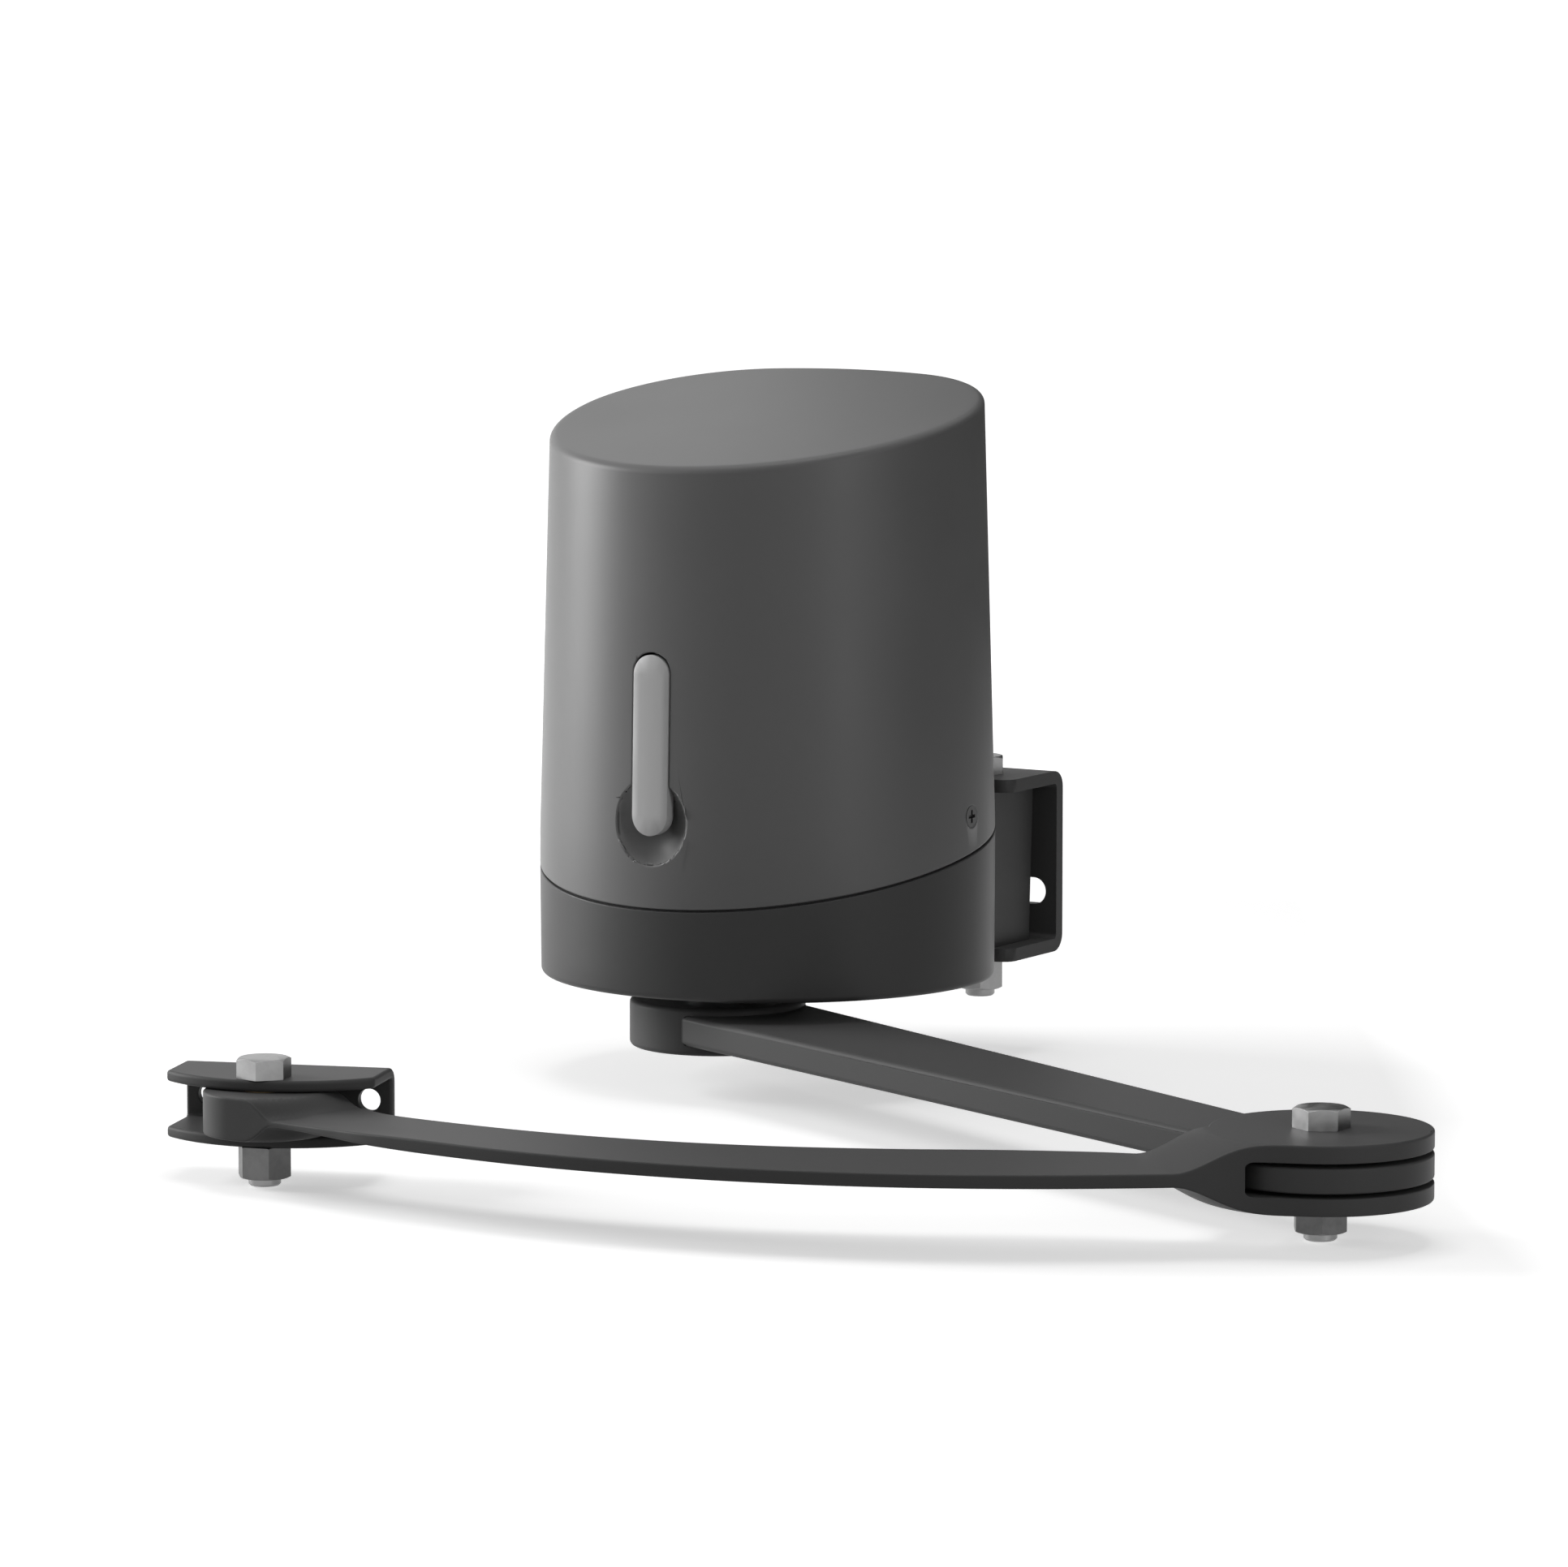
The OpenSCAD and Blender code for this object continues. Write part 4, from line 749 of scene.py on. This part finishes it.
def make_peel():
    tree, into, out = group("powder paint peel", [("Scale", 700)], ["Height", "Fleck"])
    place = tree.nodes.new("ShaderNodeTexCoord").outputs["Object"]
    wave = noise(tree, place, into.outputs["Scale"], 1, 0.4)
    grit = noise(tree, place, 5200, 1, 0.5)
    tree.links.new(maths(tree, "ADD", wave, maths(tree, "MULTIPLY", grit, 0.25)), out.inputs["Height"])
    tree.links.new(level(tree, grit, 0.45, 0.75), out.inputs["Fleck"])
    return tree


def make_streaks():
    tree, into, out = group("drawn streaks", [("Scale", 900), ("Stretch", 0.08)], ["Streak", "Cloud"])
    place = tree.nodes.new("ShaderNodeTexCoord").outputs["Object"]
    scaled = tree.nodes.new("ShaderNodeCombineXYZ")
    split = tree.nodes.new("ShaderNodeSeparateXYZ")
    tree.links.new(place, split.inputs[0])
    tree.links.new(maths(tree, "MULTIPLY", split.outputs["X"], into.outputs["Stretch"]), scaled.inputs["X"])
    tree.links.new(maths(tree, "MULTIPLY", split.outputs["Y"], into.outputs["Stretch"]), scaled.inputs["Y"])
    tree.links.new(split.outputs["Z"], scaled.inputs["Z"])
    tree.links.new(noise(tree, scaled.outputs[0], into.outputs["Scale"], 2, 0.6), out.inputs["Streak"])
    tree.links.new(level(tree, noise(tree, place, 160, 3, 0.6), 0.35, 0.65), out.inputs["Cloud"])
    return tree


grain, peel, streaks = make_grain(), make_peel(), make_streaks()
print("shader groups", [g.name for g in bpy.data.node_groups])


# %% [markdown]
# ## Materials
# A colour is written as the grey that it should show in plain light. Two close tones are mixed
# by the group's slow mask, so that no face is perfectly even, and the fine pattern goes to a
# Bump node. The numbers that are the same all over stay on the shader's own sockets.


# %% One material for each finish
def linear(level_255):
    c = level_255 / 255
    return c / 12.92 if c <= 0.04045 else ((c + 0.055) / 1.055) ** 2.4


def tone(grey, tint=(1, 1, 1)):
    return [linear(grey) * t for t in tint] + [1]


def finish(name, pattern, values, dark, light, rough, spread, bump, metal=0.0, specular=0.5,
           tint=(1, 1, 1), mask="Tone", height="Height"):
    material = bpy.data.materials.new(name)
    material.use_nodes = True
    tree = material.node_tree
    shader = tree.nodes["Principled BSDF"]
    shader.inputs["Metallic"].default_value = metal
    shader.inputs["Specular IOR Level"].default_value = specular
    effect = tree.nodes.new("ShaderNodeGroup")
    effect.node_tree = pattern
    for label, value in values.items():
        effect.inputs[label].default_value = value
    mix = tree.nodes.new("ShaderNodeMix")
    mix.data_type = "RGBA"
    mix.inputs["A"].default_value = tone(dark, tint)
    mix.inputs["B"].default_value = tone(light, tint)
    tree.links.new(effect.outputs[mask], mix.inputs["Factor"])
    tree.links.new(mix.outputs["Result"], shader.inputs["Base Color"])
    roughness = level(tree, effect.outputs[mask], 0, 1, rough, rough + spread)
    tree.links.new(roughness, shader.inputs["Roughness"])
    lift = tree.nodes.new("ShaderNodeBump")
    lift.inputs["Distance"].default_value = bump
    lift.inputs["Strength"].default_value = 0.6
    tree.links.new(effect.outputs[height], lift.inputs["Height"])
    tree.links.new(lift.outputs["Normal"], shader.inputs["Normal"])
    return material


# %% Plastics and rubber
looks = {
    "cover_plastic": finish("cover plastic", grain, {"Scale": 2600}, 111, 115, 0.38, 0.05, 0.00002,
                            specular=0.3),
    "skirt_plastic": finish("skirt plastic", grain, {"Scale": 2400}, 70, 74, 0.4, 0.05, 0.00002,
                            specular=0.2),
    "lever_plastic": finish("lever plastic", grain, {"Scale": 3200}, 202, 206, 0.4, 0.05, 0.00001,
                            specular=0.4),
    "black_plastic": finish("black plastic", grain, {"Scale": 2400}, 42, 48, 0.5, 0.08, 0.00002,
                            specular=0.35),
    "nylon": finish("natural nylon", grain, {"Scale": 1800}, 214, 222, 0.45, 0.05, 0.00001,
                    tint=(1, 0.985, 0.94)),
    "rubber": finish("rubber", grain, {"Scale": 2000}, 30, 36, 0.7, 0.08, 0.00003, specular=0.25),
}
print("plastics", list(looks))

# %% Paint and castings
fleck = {"mask": "Fleck"}
looks.update({
    "black_paint": finish("black powder paint", peel, {"Scale": 700}, 80, 84, 0.5, 0.06, 0.00002,
                          specular=0.14, **fleck),
    "cast_chassis": finish("painted casting", peel, {"Scale": 420}, 54, 60, 0.5, 0.08, 0.00005,
                           specular=0.35, **fleck),
    "cast_lid": finish("bare casting", peel, {"Scale": 360}, 158, 170, 0.42, 0.1, 0.00006,
                       metal=1.0, **fleck),
})
print("with paint and castings", len(looks))

# %% Metals
streak = {"mask": "Cloud", "height": "Streak", "metal": 1.0}
even = {"Stretch": 1.0}
looks.update({
    "plain_steel": finish("turned steel", streaks, {"Scale": 2200, "Stretch": 0.1}, 172, 184, 0.26, 0.08,
                          0.00001, **streak),
    "zinc": finish("zinc plate", streaks, {"Scale": 1400, **even}, 140, 150, 0.3, 0.1, 0.00001, **streak),
    "dark_nut": finish("dark zinc nut", streaks, {"Scale": 1200, **even}, 92, 104, 0.34, 0.1, 0.00001,
                       **streak),
    "dark_screw": finish("blackened screw", streaks, {"Scale": 1800, **even}, 74, 84, 0.38, 0.1, 0.00001,
                         **streak),
    "bronze": finish("sintered bronze", streaks, {"Scale": 1500, **even}, 84, 96, 0.5, 0.1, 0.00001,
                     tint=(1, 0.74, 0.42), **streak),
})
print("finishes", len(looks))

# %% [markdown]
# ## Dressing the nodes
# Every node of the frame keeps its mesh and gets two things: the finish that its material slot
# names, and soft edges where they show. Small parts get a finer bevel. The rebuilt pieces
# already have their edges, so they get only the finish.

# %% Finish and soft edges for each node
finish_of = {
    "rubber": "cover_seal shaft_seal cable_grommet",
    "dark_screw": "cover_screws",
    "cast_chassis": "chassis",
    "zinc": "chassis_screws lid_screws head_screws cradle_screws bracket_bolts bracket_washers "
            "bracket_nuts hub_washer hub_screw",
    "cast_lid": "gearbox_lid planet_head",
    "bronze": "lower_bush upper_bush idler_bushes elbow_bush eye_bush",
    "nylon": "rod_guide terminal_block",
    "plain_steel": "motor_can lever_pin output_shaft output_gear shaft_key clutch_collar collar_rings "
                   "release_rod idler_low idler_high motor_pinion",
    "black_plastic": "motor_cap lever_cradle",
    "black_paint": "wall_bracket gate_bracket drive_arm curved_arm",
    "dark_nut": "elbow_nut gate_nut",
    "lever_plastic": "release_lever",
    "cover_plastic": "top_cover",
    "skirt_plastic": "base_skirt",
}
softness = {"wall_bracket": 0.0009, "release_lever": 0.0006, "bracket_bolts": 0.0003,
            "bracket_nuts": 0.0003, "chassis": 0.0006, "gearbox_lid": 0.0004, "bracket_washers": 0.0003,
            "terminal_block": 0.0004, "lever_cradle": 0.0004, "output_shaft": 0.0003, "hub_screw": 0.0003}
for look, names in finish_of.items():
    for name in names.split():
        node = nodes[name]
        node.data.materials.clear()
        node.data.materials.append(looks[look])
        if name in softness:
            round_edges(node, softness[name])
print("dressed nodes", sum(len(v.split()) for v in finish_of.values()))

# %% Finish for each piece
for piece, look in ((cover, "cover_plastic"), (skirt, "skirt_plastic"), (drive, "black_paint"),
                    (link, "black_paint"), (channel, "black_paint")):
    piece.data.materials.append(looks[look])
for piece in hardware:
    piece.data.materials.append(looks["dark_nut" if "nut" in piece.name else "zinc"])
print("finished pieces", 5 + len(hardware))

# %% [markdown]
# ## Studio
# The floor is white paper that runs out of the frame, and the object hangs just above it, so
# its shadow falls there. The floor's own colour takes the shadow, and a light of its own that
# only the camera and mirror-like surfaces see lifts the paper to white. That light is weaker
# round the object, where the shadow has to show, and stronger farther out and to the right.
# One large soft light comes from the left, a tall strip from the right, and a sheet of light
# from above. Two curved black cards stand to the right and behind. Only reflections see them,
# and they keep the housing's right edge and its slanted top dark.


# %% Paper floor
def seen_directly(tree):
    rays = tree.nodes.new("ShaderNodeLightPath").outputs
    most = maths(tree, "MAXIMUM", rays["Is Camera Ray"], rays["Is Glossy Ray"])
    return maths(tree, "MAXIMUM", most, rays["Is Transmission Ray"])


floor_z, paper_half, paper_t = -0.0785, 30, 0.01
to_the_right = (0.857, 0.515, 0)
paper = bpy.data.materials.new("paper")
paper.use_nodes = True
tree = paper.node_tree
shader = tree.nodes["Principled BSDF"]
seen = seen_directly(tree)
grey = tree.nodes.new("ShaderNodeCombineColor")
for channel_name in ("Red", "Green", "Blue"):
    tree.links.new(level(tree, seen, 0, 1, 0.3, 0.95), grey.inputs[channel_name])
tree.links.new(grey.outputs[0], shader.inputs["Base Color"])
shader.inputs["Roughness"].default_value = 1
shader.inputs["Specular IOR Level"].default_value = 0
shader.inputs["Emission Color"].default_value = (1, 1, 1, 1)
spot = tree.nodes.new("ShaderNodeTexCoord").outputs["Object"]
away, beside = tree.nodes.new("ShaderNodeVectorMath"), tree.nodes.new("ShaderNodeVectorMath")
away.operation, beside.operation = "LENGTH", "DOT_PRODUCT"
tree.links.new(spot, away.inputs[0])
tree.links.new(spot, beside.inputs[0])
beside.inputs[1].default_value = to_the_right
glow = maths(tree, "MAXIMUM", level(tree, away.outputs["Value"], 0.45, 1.1, 0.5, 1.0),
             level(tree, beside.outputs["Value"], 0.185, 0.235, 0.5, 0.85))
tree.links.new(maths(tree, "MULTIPLY", seen, glow), shader.inputs["Emission Strength"])
sheet = [(x * paper_half, y * paper_half) for x, y in ((-1, -1), (1, -1), (1, 1), (-1, 1))]
floor = slab("paper_floor", sheet, floor_z - paper_t, floor_z)
floor.data.materials.append(paper)
print("paper at", floor_z)

# %% Two black cards, for reflections only
card_r, card_t, card_y, card_top = 1.1, 0.02, -0.15, 1.0
black = bpy.data.materials.new("black card")
black.use_nodes = True
shader = black.node_tree.nodes["Principled BSDF"]
shader.inputs["Base Color"].default_value = (0.02, 0.02, 0.02, 1)
shader.inputs["Specular IOR Level"].default_value = 0
for name, first, last, low in (("tall_card", 5, 108, floor_z + 0.01), ("high_card", 108, 121, 0.36)):
    plan = arc(0, card_y, card_r, first, last, 24) + arc(0, card_y, card_r + card_t, last, first, 24)
    card = slab(name, plan, low, card_top)
    card.data.materials.append(black)
    card.visible_camera = card.visible_shadow = card.visible_diffuse = False
print("cards seen only in reflections")

# %% World
world = bpy.data.worlds.new("studio")
scene.world = world
world.use_nodes = True
tree = world.node_tree
sky = tree.nodes["Background"]
sky.inputs["Color"].default_value = (1, 1, 1, 1)
fill = 0.12
tree.links.new(level(tree, seen_directly(tree), 0, 1, fill, 1.0), sky.inputs["Strength"])
print("world lights at", fill, "and shows as white")


# %% Lamps
def soft_light(name, place, aim, size, power):
    data = bpy.data.lights.new(name, "AREA")
    data.shape, data.size, data.size_y, data.energy = "RECTANGLE", size[0], size[1], power
    lamp = bpy.data.objects.new(name, data)
    scene.collection.objects.link(lamp)
    lamp.location = place
    lamp.rotation_euler = (Vector(aim) - Vector(place)).to_track_quat("-Z", "Y").to_euler()
    return lamp


soft_light("left sheet", (-1.95, -0.65, 0.6), (0, -0.15, 0.08), (1.0, 1.4), 42)
soft_light("right strip", (1.84, -0.9, 0.35), (0.05, -0.2, 0.08), (0.2, 1.4), 6)
soft_light("overhead", (0.1, -0.2, 2.2), (0.1, -0.2, 0), (1.2, 1.2), 11)

# %% [markdown]
# ## Camera
# The camera stands well back with a long lens, about thirty degrees to the right of the front
# and seven degrees above, which keeps the upright edges nearly parallel.

# %% Camera
pitch, azimuth = 6.898, 31.009
camera = bpy.data.objects.new("camera", bpy.data.cameras.new("camera"))
scene.collection.objects.link(camera)
camera.location = (1.5255, -2.6472, 0.3968)
camera.rotation_euler = (math.radians(90 - pitch), 0, math.radians(azimuth))
camera.data.lens, camera.data.sensor_width = 170.1, 36
scene.camera = camera
scene.view_settings.view_transform = "Standard"
print("camera at", camera.location)

bpy.context.view_layer.update()
